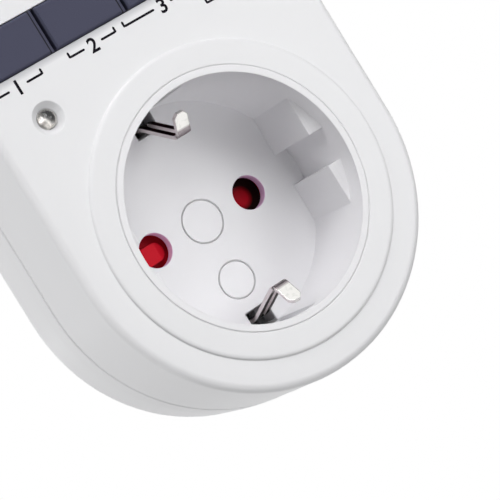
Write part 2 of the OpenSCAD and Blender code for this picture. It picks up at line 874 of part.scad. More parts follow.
module timing_crystal() {
    color(nickel) translate([12, display_back_y + 1.15, 58]) rotate([0, 90, 0])
        cylinder(r = 1.05, h = 6.2);
}

module backup_cell() {
    color(nickel) {
        rod(0, 70.5, display_back_y + slim, display_back_y + 5.3, 7.2);
        rod(0, 70.5, display_back_y + 5.3, display_back_y + 5.9, 5);
    }
}

module board_screws() {
    color(nickel) {
        for (p = display_screws_at) {
            rod(p[0], p[1], -42.5, display_back_y + slim, board_screw_r - 0.15);
            rod(p[0], p[1], display_back_y + slim, display_back_y + 1.3, board_head_r);
        }
        for (p = power_screws_at) {
            rod(p[0], p[1], power_y - slim, -19.3, board_screw_r - 0.15);
            rod(p[0], p[1], power_y - 1.3, power_y - slim, board_head_r);
        }
    }
}

module case_screws() {
    color(nickel) for (p = case_screws_at) {
        rod(p[0], p[1], screw_tip_y, screw_seat_y + fit, screw_r);
        difference() {
            rod(p[0], p[1], screw_seat_y + slim, inner_rear_y, screw_head_r);
            for (turn = [0, 90]) translate([p[0], inner_rear_y - 0.7, p[1]]) rotate([0, turn, 0])
                block([-screw_slot_l / 2, 0, -screw_slot_w / 2],
                      [screw_slot_l / 2, 1, screw_slot_w / 2]);
        }
    }
}

module ribbon_cable() {
    line = [[display_back_y + slim, 27], [-34.5, 27], [-32.5, 27.6], [-30.5, 29.2],
        [-28.5, 30.8], [-26.5, 31.4], [power_y - slim, 31.4]];
    color([0.7, 0.7, 0.72]) translate([-1, 0, 0]) rotate([90, 0, 90])
        linear_extrude(10, center = true) polygon(strip_outline(line, 0.8));
}

module power_board() {
    color(board_green) difference() {
        block([-board_x, power_y, power_lo_z], [board_x, power_back_y, power_hi_z]);
        for (p = power_screws_at)
            rod(p[0], p[1], power_y - 1, power_back_y + 1, board_screw_r + 0.1);
    }
}

// ---- Relay ----

module relay_base() {
    color(dark) block([relay_x - relay_l / 2, relay_back_y - 1.2, relay_z - relay_w / 2],
                      [relay_x + relay_l / 2, relay_back_y, relay_z + relay_w / 2]);
}

module relay_cover() {
    lo = [relay_x - relay_l / 2, relay_front_y, relay_z - relay_w / 2];
    hi = [relay_x + relay_l / 2, relay_back_y - 1.25, relay_z + relay_w / 2];
    inner = [relay_wall, relay_wall, relay_wall];
    color([0.15, 0.25, 0.5]) difference() {
        block(lo, hi);
        block(lo + inner, [hi[0] - relay_wall, hi[1] + 1, hi[2] - relay_wall]);
    }
}

module along_x(x, y, z, h, r) {
    translate([x, y, z]) rotate([0, 90, 0]) cylinder(r = r, h = h);
}

module relay_coil() {
    color([0.75, 0.4, 0.2]) difference() {
        union() {
            along_x(coil_x0, coil_y, relay_z, coil_l, 3.4);
            for (x = [coil_x0, coil_x0 + coil_l - 0.8])
                block([x, coil_y - 3.9, relay_z - 4.4], [x + 0.8, coil_y + 3.6, relay_z + 4.4]);
        }
        along_x(coil_x0 - 1, coil_y, relay_z, coil_l + 2, 1.65);
    }
}

module relay_yoke() {
    color(nickel) {
        along_x(coil_x0 - 0.9, coil_y, relay_z, coil_l + 2.25, 1.6);
        block([coil_x0 - 1, coil_y - 2, relay_z - 4], [coil_x0 - 0.1, arm_y + 0.55, relay_z + 4]);
        block([coil_x0 - 1, arm_y - 0.15, relay_z - 4], [arm_x - 0.75, arm_y + 0.55, relay_z + 4]);
    }
}

module relay_armature() {
    color(nickel) {
        block([arm_x - 0.5, coil_y - 2.6, relay_z - 3.6], [arm_x + 0.5, arm_y + 0.5, relay_z + 3.6]);
        block([arm_x + 0.4, coil_y + 0.4, relay_z - 1.5], [arm_x + 7.2, coil_y + 0.7, relay_z + 1.5]);
        rod(arm_x + 6, relay_z, coil_y - 0.2, coil_y + 1.3, 1.2);
    }
}

module relay_terminals() {
    post_x = arm_x + 8.2;
    finger_y = coil_y - 1.6;
    color(brass) {
        block([post_x, finger_y, relay_z - 2], [post_x + 0.6, relay_back_y - 1.25, relay_z + 2]);
        block([arm_x + 4.6, finger_y, relay_z - 1.5], [post_x + 0.6, finger_y + 0.4, relay_z + 1.5]);
        rod(arm_x + 6, relay_z, finger_y + 0.3, finger_y + 0.8, 1.2);
    }
}

// ---- Parts on the power board ----

module dropper_capacitor() {
    color([0.85, 0.7, 0.2])
        block([7, power_y - 11, 40], [25, power_y - slim, 48.5]);
}

module smoothing_capacitor() {
    color([0.12, 0.14, 0.25]) rod(-19, 62, power_y - 11, power_y - slim, 4);
}

module thermal_fuse() {
    color([0.55, 0.2, 0.15]) rod(11.5, 32.5, power_y - 7.6, power_y - slim, 4.1);
}

module surge_absorber() {
    color([0.2, 0.4, 0.7]) translate([21, power_y - 5.6, 32.5]) rotate([0, 90, 0])
        translate([0, 0, -1.8]) cylinder(r = 4.5, h = 3.6);
    color(nickel) for (z = [30.2, 34.8])
        block([20.7, power_y - 3, z], [21.3, power_y - slim, z + 0.6]);
}

module rectifier_diodes() {
    color(dark) for (i = [0:3])
        translate([11.5 + 3.2 * i, power_y - 1.3, 58]) cylinder(r = 1.1, h = 4.6);
}

module resistors() {
    color([0.75, 0.65, 0.5]) for (i = [0:3])
        along_x(11.5, power_y - 1.5, 66.5 + 3.4 * i, 7, 1.25);
}

module relay_transistor() {
    color(dark) intersection() {
        rod(-8, 55.8, power_y - 5, power_y - 0.6, 2.3);
        block([-11, power_y - 6, 54.4], [-5, power_y, 59]);
    }
    color(nickel) for (dx = [-1.27, 0, 1.27])
        block([-8 + dx - 0.2, power_y - 0.7, 55.6], [-8 + dx + 0.2, power_y - slim, 56]);
}

// ---- Wires inside the case ----

// Each route is a list of [y, z] points at one x, from the plug up to the power board.
wire_r = 0.95;
wire_x = 7;
switched_x = -11;
wire_back_y = -21.3;
wire_end_z = 26;
pin_route = [[-8.6, 5], [-11, 6.4], [-14, 9], [-18, 11], [-20.5, 11.8],
    [wire_back_y, 13.4], [wire_back_y, 19], [wire_back_y, wire_end_z]];
switched_route = [[-12.4, 4.9], [-14.5, 6], [-17, 7.4], [-19.5, 8.6], [-21.2, 10.4],
    [wire_back_y, 13], [wire_back_y, wire_end_z]];
function route_at(x, route) = [for (p = route) [x, p[0], p[1]]];

module live_wire() {
    color([0.35, 0.2, 0.12]) wire(route_at(-wire_x, pin_route), wire_r);
}

module switched_wire() {
    color([0.1, 0.1, 0.1]) wire(route_at(switched_x, switched_route), wire_r);
}

module neutral_wire() {
    color([0.2, 0.35, 0.7]) wire(route_at(wire_x, pin_route), wire_r);
}

front_cover();
rear_cover();
plug_body();
socket_insert();
case_screws();
safety_shutter();
shutter_spring();
contact_carrier();
live_contact();
neutral_contact();
earth_clip_top();
earth_clip_bottom();
earth_bridge();
plug_pin_live();
plug_pin_neutral();
pin_clamp();
plug_earth_strips();
earth_pin_socket();
clock_key();
timer_key();
mode_key();
recall_key();
week_key();
hour_key();
minute_key();
random_key();
reset_button();
reset_switch();
key_mat();
status_led();
display_window();
lcd_frame();
lcd_glass();
lcd_connectors();
display_board();
controller_chip();
timing_crystal();
backup_cell();
board_screws();
ribbon_cable();
power_board();
relay_base();
relay_cover();
relay_coil();
relay_yoke();
relay_armature();
relay_terminals();
dropper_capacitor();
smoothing_capacitor();
thermal_fuse();
surge_absorber();
rectifier_diodes();
resistors();
relay_transistor();
live_wire();
switched_wire();
neutral_wire();
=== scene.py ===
# %% [markdown]
# # A plug-in timer switch
# This object plugs into the wall and switches whatever is plugged into its own front socket.
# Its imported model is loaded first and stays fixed: it gives every solid its place and says
# which body it moves with. Everything below either dresses one of those solids in a finish, or
# builds a finer piece where a plain solid is too simple. Lengths are in millimetres here and
# are turned into metres where a mesh is made. X runs across the front, Y runs into the wall
# and Z runs up.

import json
import math

import bmesh
import bpy
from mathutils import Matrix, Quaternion, Vector


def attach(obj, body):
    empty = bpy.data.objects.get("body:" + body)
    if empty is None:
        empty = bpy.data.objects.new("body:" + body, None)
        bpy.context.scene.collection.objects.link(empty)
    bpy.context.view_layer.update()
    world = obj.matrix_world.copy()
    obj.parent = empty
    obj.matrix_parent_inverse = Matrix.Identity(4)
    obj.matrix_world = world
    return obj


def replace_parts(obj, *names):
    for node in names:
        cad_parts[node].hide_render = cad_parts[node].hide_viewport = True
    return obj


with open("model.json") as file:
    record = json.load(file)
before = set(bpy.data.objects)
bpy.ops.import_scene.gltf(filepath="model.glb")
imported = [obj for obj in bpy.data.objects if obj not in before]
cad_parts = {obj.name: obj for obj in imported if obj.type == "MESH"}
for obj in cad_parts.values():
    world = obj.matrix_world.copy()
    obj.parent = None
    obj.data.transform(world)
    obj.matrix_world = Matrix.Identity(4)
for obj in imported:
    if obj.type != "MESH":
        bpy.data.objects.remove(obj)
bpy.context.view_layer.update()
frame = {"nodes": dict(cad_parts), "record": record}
nodes = frame["nodes"]
MM = 0.001

# %% [markdown]
# ## Camera
# A long lens stands about a third of a metre away, a little to the left of the front, and is
# turned about its own axis, so that the upright body leans across the picture. Only the lower
# half is in view. A camera can be aimed with a constraint at an empty, but two angles round a
# target say the same in plain numbers: azimuth goes round and elevation goes up. The shift is a
# tenth of a percent of the picture and only settles the framing.

# %% Camera
TARGET = Vector((-4, -47, -7.2)) * MM
DISTANCE = 375.16 * MM
AZIMUTH, ELEVATION, ROLL = (math.radians(a) for a in (-25.76, 2.12, -31.56))
LENS, SENSOR = 180, 36
SHIFT_X, SHIFT_Y = -0.001, 0.001
SEES_FROM, SEES_TO = 0.01, 20


def add_camera():
    back = Vector((math.sin(AZIMUTH) * math.cos(ELEVATION),
                   -math.cos(AZIMUTH) * math.cos(ELEVATION), math.sin(ELEVATION)))
    camera = bpy.data.objects.new("camera", bpy.data.cameras.new("camera"))
    camera.data.lens = LENS
    camera.data.sensor_width = SENSOR
    camera.data.shift_x, camera.data.shift_y = SHIFT_X, SHIFT_Y
    camera.data.clip_start, camera.data.clip_end = SEES_FROM, SEES_TO
    camera.rotation_mode = "QUATERNION"
    camera.location = TARGET + back * DISTANCE
    camera.rotation_quaternion = (-back).to_track_quat("-Z", "Y") @ Quaternion((0, 0, 1), ROLL)
    bpy.context.scene.collection.objects.link(camera)
    bpy.context.scene.camera = camera
    return camera


print("camera at", [round(c, 4) for c in add_camera().location])

# %% [markdown]
# ## Light
# A pale object on white needs light from all round, with one side a little stronger, so that
# its forms still read. One bright sky would flatten it, so soft round panels do the work. Each
# is placed by two angles: how far it stands off the front's own axis, and where it stands round
# that axis, counted from the right over the top. Its other two values are its size in metres
# and its power in watts.

# %% Panels
PANELS = {
    "front": (25, 0, 0.45, 1.06),
    "left": (25, 180, 0.45, 0.64),
    "right": (38, 0, 0.45, 2.08),
    "high": (38, 90, 0.45, 3.24),
    "low": (50, 270, 0.45, 1.62),
    "crown": (62, 90, 0.45, 2.60),
    "left_edge": (75, 135, 0.45, 2.56),
    "behind_left": (105, 135, 0.45, 3.10),
    "behind_low": (105, 225, 0.45, 3.10),
    "back": (150, 60, 0.9, 4.4),
    "back_low": (150, 250, 0.9, 2.6),
}


def add_panel(name, off_axis, around, size, power):
    tilt, clock = math.radians(off_axis), math.radians(around)
    out = Vector((math.sin(tilt) * math.cos(clock), -math.cos(tilt),
                  math.sin(tilt) * math.sin(clock)))
    light = bpy.data.objects.new(name, bpy.data.lights.new(name, "AREA"))
    light.data.shape = "DISK"
    light.data.size = size
    light.data.energy = power
    light.location = TARGET + out
    light.rotation_mode = "QUATERNION"
    light.rotation_quaternion = out.to_track_quat("Z", "Y")
    bpy.context.scene.collection.objects.link(light)


for panel, facts in PANELS.items():
    add_panel(panel, *facts)
print(len(PANELS), "soft round panels")

# %% [markdown]
# ## Node helpers
# Most of the nodes below are made, set and linked in the same way, so one helper does it: a
# socket is linked and a plain value is set. Sums on masks use it most, so `maths` shortens them
# further. Nodes can also be laid out by hand in the editor, but in a script they stay readable
# and can be repeated.

# %% Node helpers
def add_node(tree, kind, inputs=None, **settings):
    node = tree.nodes.new(kind)
    for name, value in settings.items():
        setattr(node, name, value)
    for key, value in (inputs or {}).items():
        if isinstance(value, bpy.types.NodeSocket):
            tree.links.new(value, node.inputs[key])
        else:
            node.inputs[key].default_value = value
    return node


def maths(tree, operation, *values, clamp=False):
    return add_node(tree, "ShaderNodeMath", dict(enumerate(values)), operation=operation,
                    use_clamp=clamp).outputs[0]


print("two helpers for nodes")

# %% [markdown]
# ## Surroundings
# Behind the object everything is pure white, and its polished clips and glossy plastic need
# something white to mirror. If the surroundings also lit it they would drown the panels. So the
# camera and reflections see white, and all other light gets a very weak grey. The Light Path
# node tells which kind of ray asks.

# %% White surroundings
SURROUNDINGS = 0.02
WHITE = (1, 1, 1, 1)


def seen_as_white(tree, lit, output):
    path = add_node(tree, "ShaderNodeLightPath")
    looks = maths(tree, "MAXIMUM", path.outputs["Is Camera Ray"], path.outputs["Is Glossy Ray"])
    white = output.inputs["Surface"].links[0].from_socket
    mix = add_node(tree, "ShaderNodeMixShader", {0: looks, 1: lit, 2: white})
    tree.links.new(mix.outputs[0], output.inputs["Surface"])


def add_surroundings():
    world = bpy.data.worlds.new("surroundings")
    bpy.context.scene.world = world
    world.use_nodes = True
    tree = world.node_tree
    white = tree.nodes["Background"]
    white.inputs["Color"].default_value = WHITE
    white.inputs["Strength"].default_value = 1
    lit = add_node(tree, "ShaderNodeBackground", {"Color": WHITE, "Strength": SURROUNDINGS})
    seen_as_white(tree, lit.outputs[0], tree.nodes["World Output"])


bpy.context.scene.view_settings.view_transform = "Standard"
add_surroundings()
print("surroundings: white to look at, strength", SURROUNDINGS, "as light")


# %% [markdown]
# ## Shader groups
# An effect that several finishes use is one group with named inputs, built once and placed in
# each material with its own values. The nodes could be copied into every material, but then a
# change would have to be made many times. The edge group compares the true normal with a rounded
# one, and they differ only near an edge: its mask marks rubbed edges, and on the clips the same
# mask lays a painted dark reflection. `moulded_grain` is the fine texture that a mould leaves,
# and `soft_dust` is a broad, faint unevenness.

# %% Group helpers
def new_group(name, inputs, outputs):
    tree = bpy.data.node_groups.new(name, "ShaderNodeTree")
    for label, value in inputs.items():
        socket = tree.interface.new_socket(label, in_out="INPUT", socket_type="NodeSocketFloat")
        socket.default_value = value
    for label, kind in outputs.items():
        tree.interface.new_socket(label, in_out="OUTPUT", socket_type=kind)
    return tree, tree.nodes.new("NodeGroupInput"), tree.nodes.new("NodeGroupOutput")


def give_back(tree, made, **values):
    for label, value in values.items():
        tree.links.new(value, made.inputs[label])
    return tree


def noise(tree, scale, detail=3.0):
    coords = add_node(tree, "ShaderNodeTexCoord")
    return add_node(tree, "ShaderNodeTexNoise", {
        "Vector": coords.outputs["Object"], "Scale": scale, "Detail": detail}).outputs["Fac"]


def split_axes(tree, vector):
    return dict(zip("XYZ", add_node(tree, "ShaderNodeSeparateXYZ", {0: vector}).outputs))


def object_axes(tree):
    return split_axes(tree, add_node(tree, "ShaderNodeTexCoord").outputs["Object"])


# %% Edge, grain and dust
MASK_ONLY = {"Mask": "NodeSocketFloat"}
EDGE_RAYS = 4


def make_edge_wear_and_reflection():
    tree, given, made = new_group("edge_wear_and_reflection", {"Radius": 0.3 * MM, "Strength": 1.0},
                                  MASK_ONLY | {"Normal": "NodeSocketVector"})
    rounded = add_node(tree, "ShaderNodeBevel", {"Radius": given.outputs["Radius"]},
                       samples=EDGE_RAYS).outputs[0]
    flat = add_node(tree, "ShaderNodeNewGeometry").outputs["Normal"]
    dot = add_node(tree, "ShaderNodeVectorMath", {0: rounded, 1: flat}, operation="DOT_PRODUCT")
    bent = maths(tree, "SUBTRACT", 1.0, dot.outputs["Value"])
    mask = maths(tree, "MINIMUM", maths(tree, "MULTIPLY", bent, given.outputs["Strength"]), 1.0)
    return give_back(tree, made, Mask=mask, Normal=rounded)


def make_moulded_grain():
    tree, given, made = new_group("moulded_grain", {"Scale": 9000, "Roughness": 0.4, "Vary": 0.05},
                                  {"Roughness": "NodeSocketFloat", "Height": "NodeSocketFloat"})
    fine = noise(tree, given.outputs["Scale"])
    change = maths(tree, "MULTIPLY", maths(tree, "SUBTRACT", fine, 0.5), given.outputs["Vary"])
    rough = maths(tree, "ADD", given.outputs["Roughness"], change)
    return give_back(tree, made, Roughness=rough, Height=fine)


def make_soft_dust():
    tree, given, made = new_group("soft_dust", {"Scale": 60, "Amount": 0.03}, MASK_ONLY)
    broad = noise(tree, given.outputs["Scale"], detail=5.0)
    return give_back(tree, made, Mask=maths(tree, "MULTIPLY", broad, given.outputs["Amount"]))


# %% [markdown]
# Three more groups say where on a piece a second colour lies. `near_axis` is a round spot about
# an axis from front to back, such as a hole. `banded` is a band across any one axis, and it
# comes again after each pitch, which gives rings on a resistor or stripes on a rubber strip.
# `tracks` draws the copper paths of a printed board from a brick pattern's joints. An image
# could carry such marks too, but sums on the piece's own coordinates stay sharp at any size.

# %% Spots, bands and tracks
TRACK_WIDTH, TRACK_ROW = 0.03, 0.6


def soft_inside(tree, given, size, away):
    inside = maths(tree, "SUBTRACT", given.outputs[size], away)
    return maths(tree, "DIVIDE", inside, given.outputs["Soft"], clamp=True)


def make_near_axis():
    tree, given, made = new_group("near_axis", {"X": 0.0, "Z": 0.0, "Radius": 3 * MM,
                                                "Soft": 0.1 * MM}, MASK_ONLY)
    axes = object_axes(tree)
    squares = []
    for letter in "XZ":
        side = maths(tree, "SUBTRACT", axes[letter], given.outputs[letter])
        squares.append(maths(tree, "MULTIPLY", side, side))
    away = maths(tree, "SQRT", maths(tree, "ADD", *squares))
    return give_back(tree, made, Mask=soft_inside(tree, given, "Radius", away))


def make_banded():
    tree, given, made = new_group("banded", {"Along": 0.0, "Centre": 0.0, "Half": 1 * MM,
                                             "Soft": 0.1 * MM, "Pitch": 1.0}, MASK_ONLY)
    half_pitch = maths(tree, "MULTIPLY", given.outputs["Pitch"], 0.5)
    along = maths(tree, "SUBTRACT", given.outputs["Along"], given.outputs["Centre"])
    turn = maths(tree, "FLOORED_MODULO", maths(tree, "ADD", along, half_pitch),
                 given.outputs["Pitch"])
    away = maths(tree, "ABSOLUTE", maths(tree, "SUBTRACT", turn, half_pitch))
    return give_back(tree, made, Mask=soft_inside(tree, given, "Half", away))


def make_tracks():
    tree, given, made = new_group("tracks", {"Scale": 120.0}, MASK_ONLY)
    axes = object_axes(tree)
    flat = add_node(tree, "ShaderNodeCombineXYZ", {"X": axes["X"], "Y": axes["Z"]})
    bricks = add_node(tree, "ShaderNodeTexBrick", {
        "Vector": flat.outputs[0], "Scale": given.outputs["Scale"],
        "Mortar Size": TRACK_WIDTH, "Row Height": TRACK_ROW})
    return give_back(tree, made, Mask=bricks.outputs["Fac"])


GROUPS = {"edge": make_edge_wear_and_reflection(), "grain": make_moulded_grain(), "dust": make_soft_dust(),
          "near": make_near_axis(), "banded": make_banded(), "tracks": make_tracks()}
print("shader groups:", [g.name for g in GROUPS.values()])


# %% [markdown]
# ## Finishes
# Each finish is a Principled shader fed by the groups. One flat colour would look like a
# drawing, so the colour shifts a little with the dust mask, rubbed edges are lighter, on the clips
# the edges are darker as a painted dark reflection, and the grain drives both roughness and a
# shallow bump. Tints lay a second colour where a mask says, and a rougher patch works in the same
# way. Constants such as metal or coat stay on the shader's own sockets.

# %% A finish from its few facts
EDGE_R, EDGE_STRENGTH, GRAIN_VARY = 0.25, 3.0, 0.12
DUST_SCALE, DUST_AMOUNT, DUST_SHADE = 70, 0.25, 0.9
EDGE_GAIN, EDGE_LIFT = 1.08, 0.01
BUMP_STRENGTH = 0.35
COLOUR_A, COLOUR_B, COLOUR_OUT = 6, 7, 2


def place_group(tree, key, **values):
    return add_node(tree, "ShaderNodeGroup", values, node_tree=GROUPS[key])


def mixed(tree, factor, first, second):
    first, second = (colour if isinstance(colour, bpy.types.NodeSocket) else (*colour, 1)
                     for colour in (first, second))
    mix = add_node(tree, "ShaderNodeMix", {"Factor": factor, COLOUR_A: first, COLOUR_B: second},
                   data_type="RGBA")
    return mix.outputs[COLOUR_OUT]


def finish(name, colour, rough=0.4, grain=9000, depth=0.01, edge=None, tints=(), rougher=(),
           **constants):
    material = bpy.data.materials.new(name)
    material.use_nodes = True
    tree = material.node_tree
    shader = tree.nodes["Principled BSDF"]
    worn_and_mirror_edge = place_group(tree, "edge", Radius=EDGE_R * MM, Strength=EDGE_STRENGTH)
    mould = place_group(tree, "grain", Scale=grain, Roughness=rough, Vary=GRAIN_VARY)
    dusty = place_group(tree, "dust", Scale=DUST_SCALE, Amount=DUST_AMOUNT)
    shade = tuple(c * DUST_SHADE for c in colour)
    light = edge or tuple(min(1.0, c * EDGE_GAIN + EDGE_LIFT) for c in colour)
    base = mixed(tree, dusty.outputs["Mask"], colour, shade)
    base = mixed(tree, worn_and_mirror_edge.outputs["Mask"], base, light)
    for mask, tint in tints:
        base = mixed(tree, mask(tree), base, tint)
    roughness = mould.outputs["Roughness"]
    for mask, value in rougher:
        step = maths(tree, "SUBTRACT", value, roughness)
        roughness = maths(tree, "MULTIPLY_ADD", mask(tree), step, roughness)
    bump = add_node(tree, "ShaderNodeBump", {
        "Strength": BUMP_STRENGTH, "Distance": depth * MM, "Height": mould.outputs["Height"],
        "Normal": worn_and_mirror_edge.outputs["Normal"]})
    for label, source in (("Base Color", base), ("Roughness", roughness),
                          ("Normal", bump.outputs[0])):
        tree.links.new(source, shader.inputs[label])
    for label, value in constants.items():
        shader.inputs[label.replace("_", " ")].default_value = value
    return material


# %% [markdown]
# ## Where a tint lies
# A tint needs a mask, and the mask's nodes have to stand in the material that uses them. So
# each maker below gives back a small function that builds the nodes when a finish asks. `both`
# and `outside` combine masks, as an intersection and as all that is left.

# %% Masks
WEAR_SCALE, WEAR_FROM = 1400, 0.5
CUT_FROM = 0.35
SHARPEN = 4.0


def spot(x, z, radius, soft=0.02):
    return lambda tree: place_group(tree, "near", X=x * MM, Z=z * MM, Radius=radius * MM,
                                    Soft=soft * MM).outputs["Mask"]


def band(letter, centre, half, soft=0.05, pitch=1000):
    return lambda tree: place_group(
        tree, "banded", Along=object_axes(tree)[letter], Centre=centre * MM, Half=half * MM,
        Soft=soft * MM, Pitch=pitch * MM).outputs["Mask"]


def both(first, second):
    return lambda tree: maths(tree, "MULTIPLY", first(tree), second(tree))


def outside(mask):
    return lambda tree: maths(tree, "SUBTRACT", 1.0, mask(tree))


def sharpened(tree, value, begin):
    return maths(tree, "MULTIPLY", maths(tree, "SUBTRACT", value, begin), SHARPEN, clamp=True)


def worn(tree):
    return sharpened(tree, noise(tree, WEAR_SCALE, detail=4.0), WEAR_FROM)


def cut_edge(tree):
    normal = add_node(tree, "ShaderNodeNewGeometry").outputs["Normal"]
    return sharpened(tree, maths(tree, "ABSOLUTE", split_axes(tree, normal)["X"]), CUT_FROM)


def copper_paths(tree):
    return place_group(tree, "tracks").outputs["Mask"]


print("masks: spot, band, both, outside, worn, cut_edge, copper_paths")

# %% [markdown]
# ## White covers and insert
# The covers are moulded in a slightly cool white. The insert is painted a little brighter,
# which stands in for the light that fills the deep socket. Just under the lower keys the cover
# has a painted shadow, a soft grey line where the keys shade it. The walls of the two contact
# holes have painted bounce light, the red of the shutter behind them. The solids stay as they
# are and deep bounces are noisy, so both the shadow and the red are tints where they lie.

# %% Covers and insert
PIN_X, HOLE_R = 9.5, 2.8
FACE_Y, KEY_EDGE_Z = -46.6, 33.0
KEY_SHADOW_GREY, HOLE_BOUNCE_MAUVE = (0.55, 0.55, 0.58), (0.95, 0.64, 0.90)
# Painted shadow: a soft grey line on the cover just under the lower keys, where they shade it.
painted_key_shadow = both(band("Z", KEY_EDGE_Z, 1.1, 1.0), band("Y", FACE_Y, 0.2))
# Painted bounce light: the shutter's red laid on the walls of the two contact holes.
painted_hole_bounce = [spot(x, 0, HOLE_R + 0.03) for x in (-PIN_X, PIN_X)]
FINISHES = {
    "cover_white": finish("cover_white", (0.86, 0.86, 0.875), 0.38, Specular_IOR_Level=0.45,
                          tints=[(painted_key_shadow, KEY_SHADOW_GREY)]),
    # Painted light: the insert is a little brighter than the cover to stand in for light in the
    # socket.
    "insert_white": finish("insert_white", (0.885, 0.88, 0.90), 0.45,
                           tints=[(wall, HOLE_BOUNCE_MAUVE) for wall in painted_hole_bounce]),
}
print("finishes:", list(FINISHES))

# %% [markdown]
# ## Keys and shutter
# The keys are a dull slate blue. Near the right edge of each, a fine dark line of painted shade
# lies in its groove, and one repeated band draws it on the whole row. The shutter is red. Behind
# the right contact hole very little light reaches it, and it shows as a small red disc with black
# round it. A real shadow there would depend on the exact depth of parts that can't be seen, so
# the shade is a tint.

# %% Keys and shutter
KEY_PITCH, KEY_ROW_X = 13.5, -0.3
KEY_GROOVE_X, KEY_GROOVE_HALF = 5.88, 0.2
KEY_ROW_Z, KEY_HALF_H = 36.8, 3.8
SHADE_R = 3.6
LIT_X, LIT_Z, LIT_R, LIT_SOFT = PIN_X + 0.4, -0.16, 2.05, 0.9
first_groove = KEY_ROW_X - KEY_PITCH / 2 + KEY_GROOVE_X
# Painted shade: a fine dark line in the groove near the right edge of each key.
painted_groove_shade = both(band("X", first_groove, KEY_GROOVE_HALF, 0.06, KEY_PITCH),
               band("Z", KEY_ROW_Z, KEY_HALF_H))
hole_shade = both(spot(PIN_X, 0, SHADE_R, 0.1), outside(spot(LIT_X, LIT_Z, LIT_R, LIT_SOFT)))
FINISHES |= {
    "slate_key": finish("slate_key", (0.064, 0.066, 0.106), 0.55, 5000, 0.03,
                        Specular_IOR_Level=0.15, tints=[(painted_groove_shade, (0.012, 0.012, 0.018))]),
    "shutter_red": finish("shutter_red", (0.66, 0.006, 0.022), 0.5, Specular_IOR_Level=0.12,
                          tints=[(hole_shade, (0.012, 0.001, 0.001))]),
}
print("grooves every", KEY_PITCH, "mm from", round(first_groove, 2))

# %% [markdown]
# ## Metals, glass and plastics
# Metals take their colour from what they mirror, so they need only a tint and a roughness. The
# clear window and the lamp let light through and have almost no grain. Each resistor wears four
# rings of colour, and the boards show their copper paths under a green lacquer.

# %% The other finishes, one for each material slot
RING_HALF = 0.28
RING_TINTS = {12.9: (0.16, 0.05, 0.02), 14.2: (0.02, 0.02, 0.02), 15.5: (0.55, 0.04, 0.02),
              17.2: (0.45, 0.32, 0.08)}
FINISHES |= {
    "nickel": finish("nickel", (0.74, 0.72, 0.70), 0.16, 6000, 0.004, Metallic=1.0),
    "brass": finish("brass", (0.74, 0.54, 0.25), 0.28, Metallic=1.0),
    "steel_screw": finish("steel_screw", (0.58, 0.58, 0.60), 0.34, Metallic=1.0),
    "display_window": finish("display_window", (0.96, 0.97, 0.97), 0.04, depth=0.001,
                             Transmission_Weight=1.0, IOR=1.49),
    "lcd_glass": finish("lcd_glass", (0.40, 0.46, 0.37), 0.2, Coat_Weight=0.6),
    "lens_clear": finish("lens_clear", (0.97, 0.97, 0.96), 0.03, depth=0.001,
                         Transmission_Weight=1.0, IOR=1.5),
    "black_plastic": finish("black_plastic", (0.02, 0.02, 0.022), 0.45),
    "silicone": finish("silicone", (0.52, 0.52, 0.52), 0.6, Subsurface_Weight=0.1),
    "board_green": finish("board_green", (0.02, 0.13, 0.05), 0.3, Coat_Weight=0.5,
                          tints=[(copper_paths, (0.03, 0.17, 0.068))]),
    "relay_blue": finish("relay_blue", (0.03, 0.10, 0.32), 0.35),
    "winding": finish("winding", (0.55, 0.20, 0.07), 0.25, Metallic=0.8),
    "capacitor_yellow": finish("capacitor_yellow", (0.72, 0.47, 0.05), 0.4),
    "capacitor_sleeve": finish("capacitor_sleeve", (0.02, 0.025, 0.07), 0.25),
    "fuse_brown": finish("fuse_brown", (0.24, 0.06, 0.04), 0.4),
    "absorber_blue": finish("absorber_blue", (0.04, 0.12, 0.40), 0.3, Coat_Weight=0.6),
    "resistor_tan": finish("resistor_tan", (0.52, 0.40, 0.23), 0.35, tints=[
        (band("X", x, RING_HALF), tint) for x, tint in RING_TINTS.items()]),
    "wire_brown": finish("wire_brown", (0.12, 0.045, 0.02), 0.4),
    "wire_black": finish("wire_black", (0.02, 0.02, 0.02), 0.4),
    "wire_blue": finish("wire_blue", (0.03, 0.10, 0.40), 0.4),
    "ribbon_grey": finish("ribbon_grey", (0.42, 0.42, 0.44), 0.45),
}
for sub in frame["record"]["subparts"]:
    solid = nodes[sub["node"]]
    solid.data.materials.clear()
    solid.data.materials.append(FINISHES[sub["material_slot"]])
print(len(FINISHES), "finishes on", len(nodes), "solids")

# %% [markdown]
# ## Ink, striped rubber and clip metal
# Some pieces need a look of their own within their slot. Ink is blacker and duller than black
# plastic. The rubber strips that join the display to its board are layered, conducting and
# insulating in turn, so a fine band repeats along them. A clip's legs get a near-black painted
# shade for the deep shade of its slot, its knees get a painted dark reflection of the depth of
# the socket, and its lip keeps the bright colour of the metal. The cut edges of the strip are
# matt. Bands along the clip and a mask on its sideways faces say which is which.

# %% Looks of single pieces
# The first colour is a painted dark reflection on the clips' knees, the second painted shade on
# their legs.
KNEE_PAINTED_REFLECTION, LEG_PAINTED_SHADE = (0.36, 0.32, 0.33), (0.01, 0.009, 0.01)
WORN_NICKEL, CUT_NICKEL = (0.78, 0.78, 0.74), (0.82, 0.76, 0.77)
CUT_ROUGH = 0.5
# Band for the legs' painted shade; the knee bands below carry a painted dark reflection.
painted_leg_shade = band("Y", -31, 8.7, 0.5)
knees = band("Y", -40.4, 0.95, 0.3)
painted_bottom_knee_reflection = both(band("Y", -41.6, 0.5, 0.3), band("Z", -15.5, 3))
FINISHES["ink"] = finish("ink", (0.008, 0.006, 0.010), 0.8, Specular_IOR_Level=0.1)
FINISHES["rubber_stripes"] = finish("rubber_stripes", (0.62, 0.30, 0.34), 0.6, tints=[
    (band("X", 0, 0.1, 0.02, 0.4), (0.03, 0.03, 0.03))])
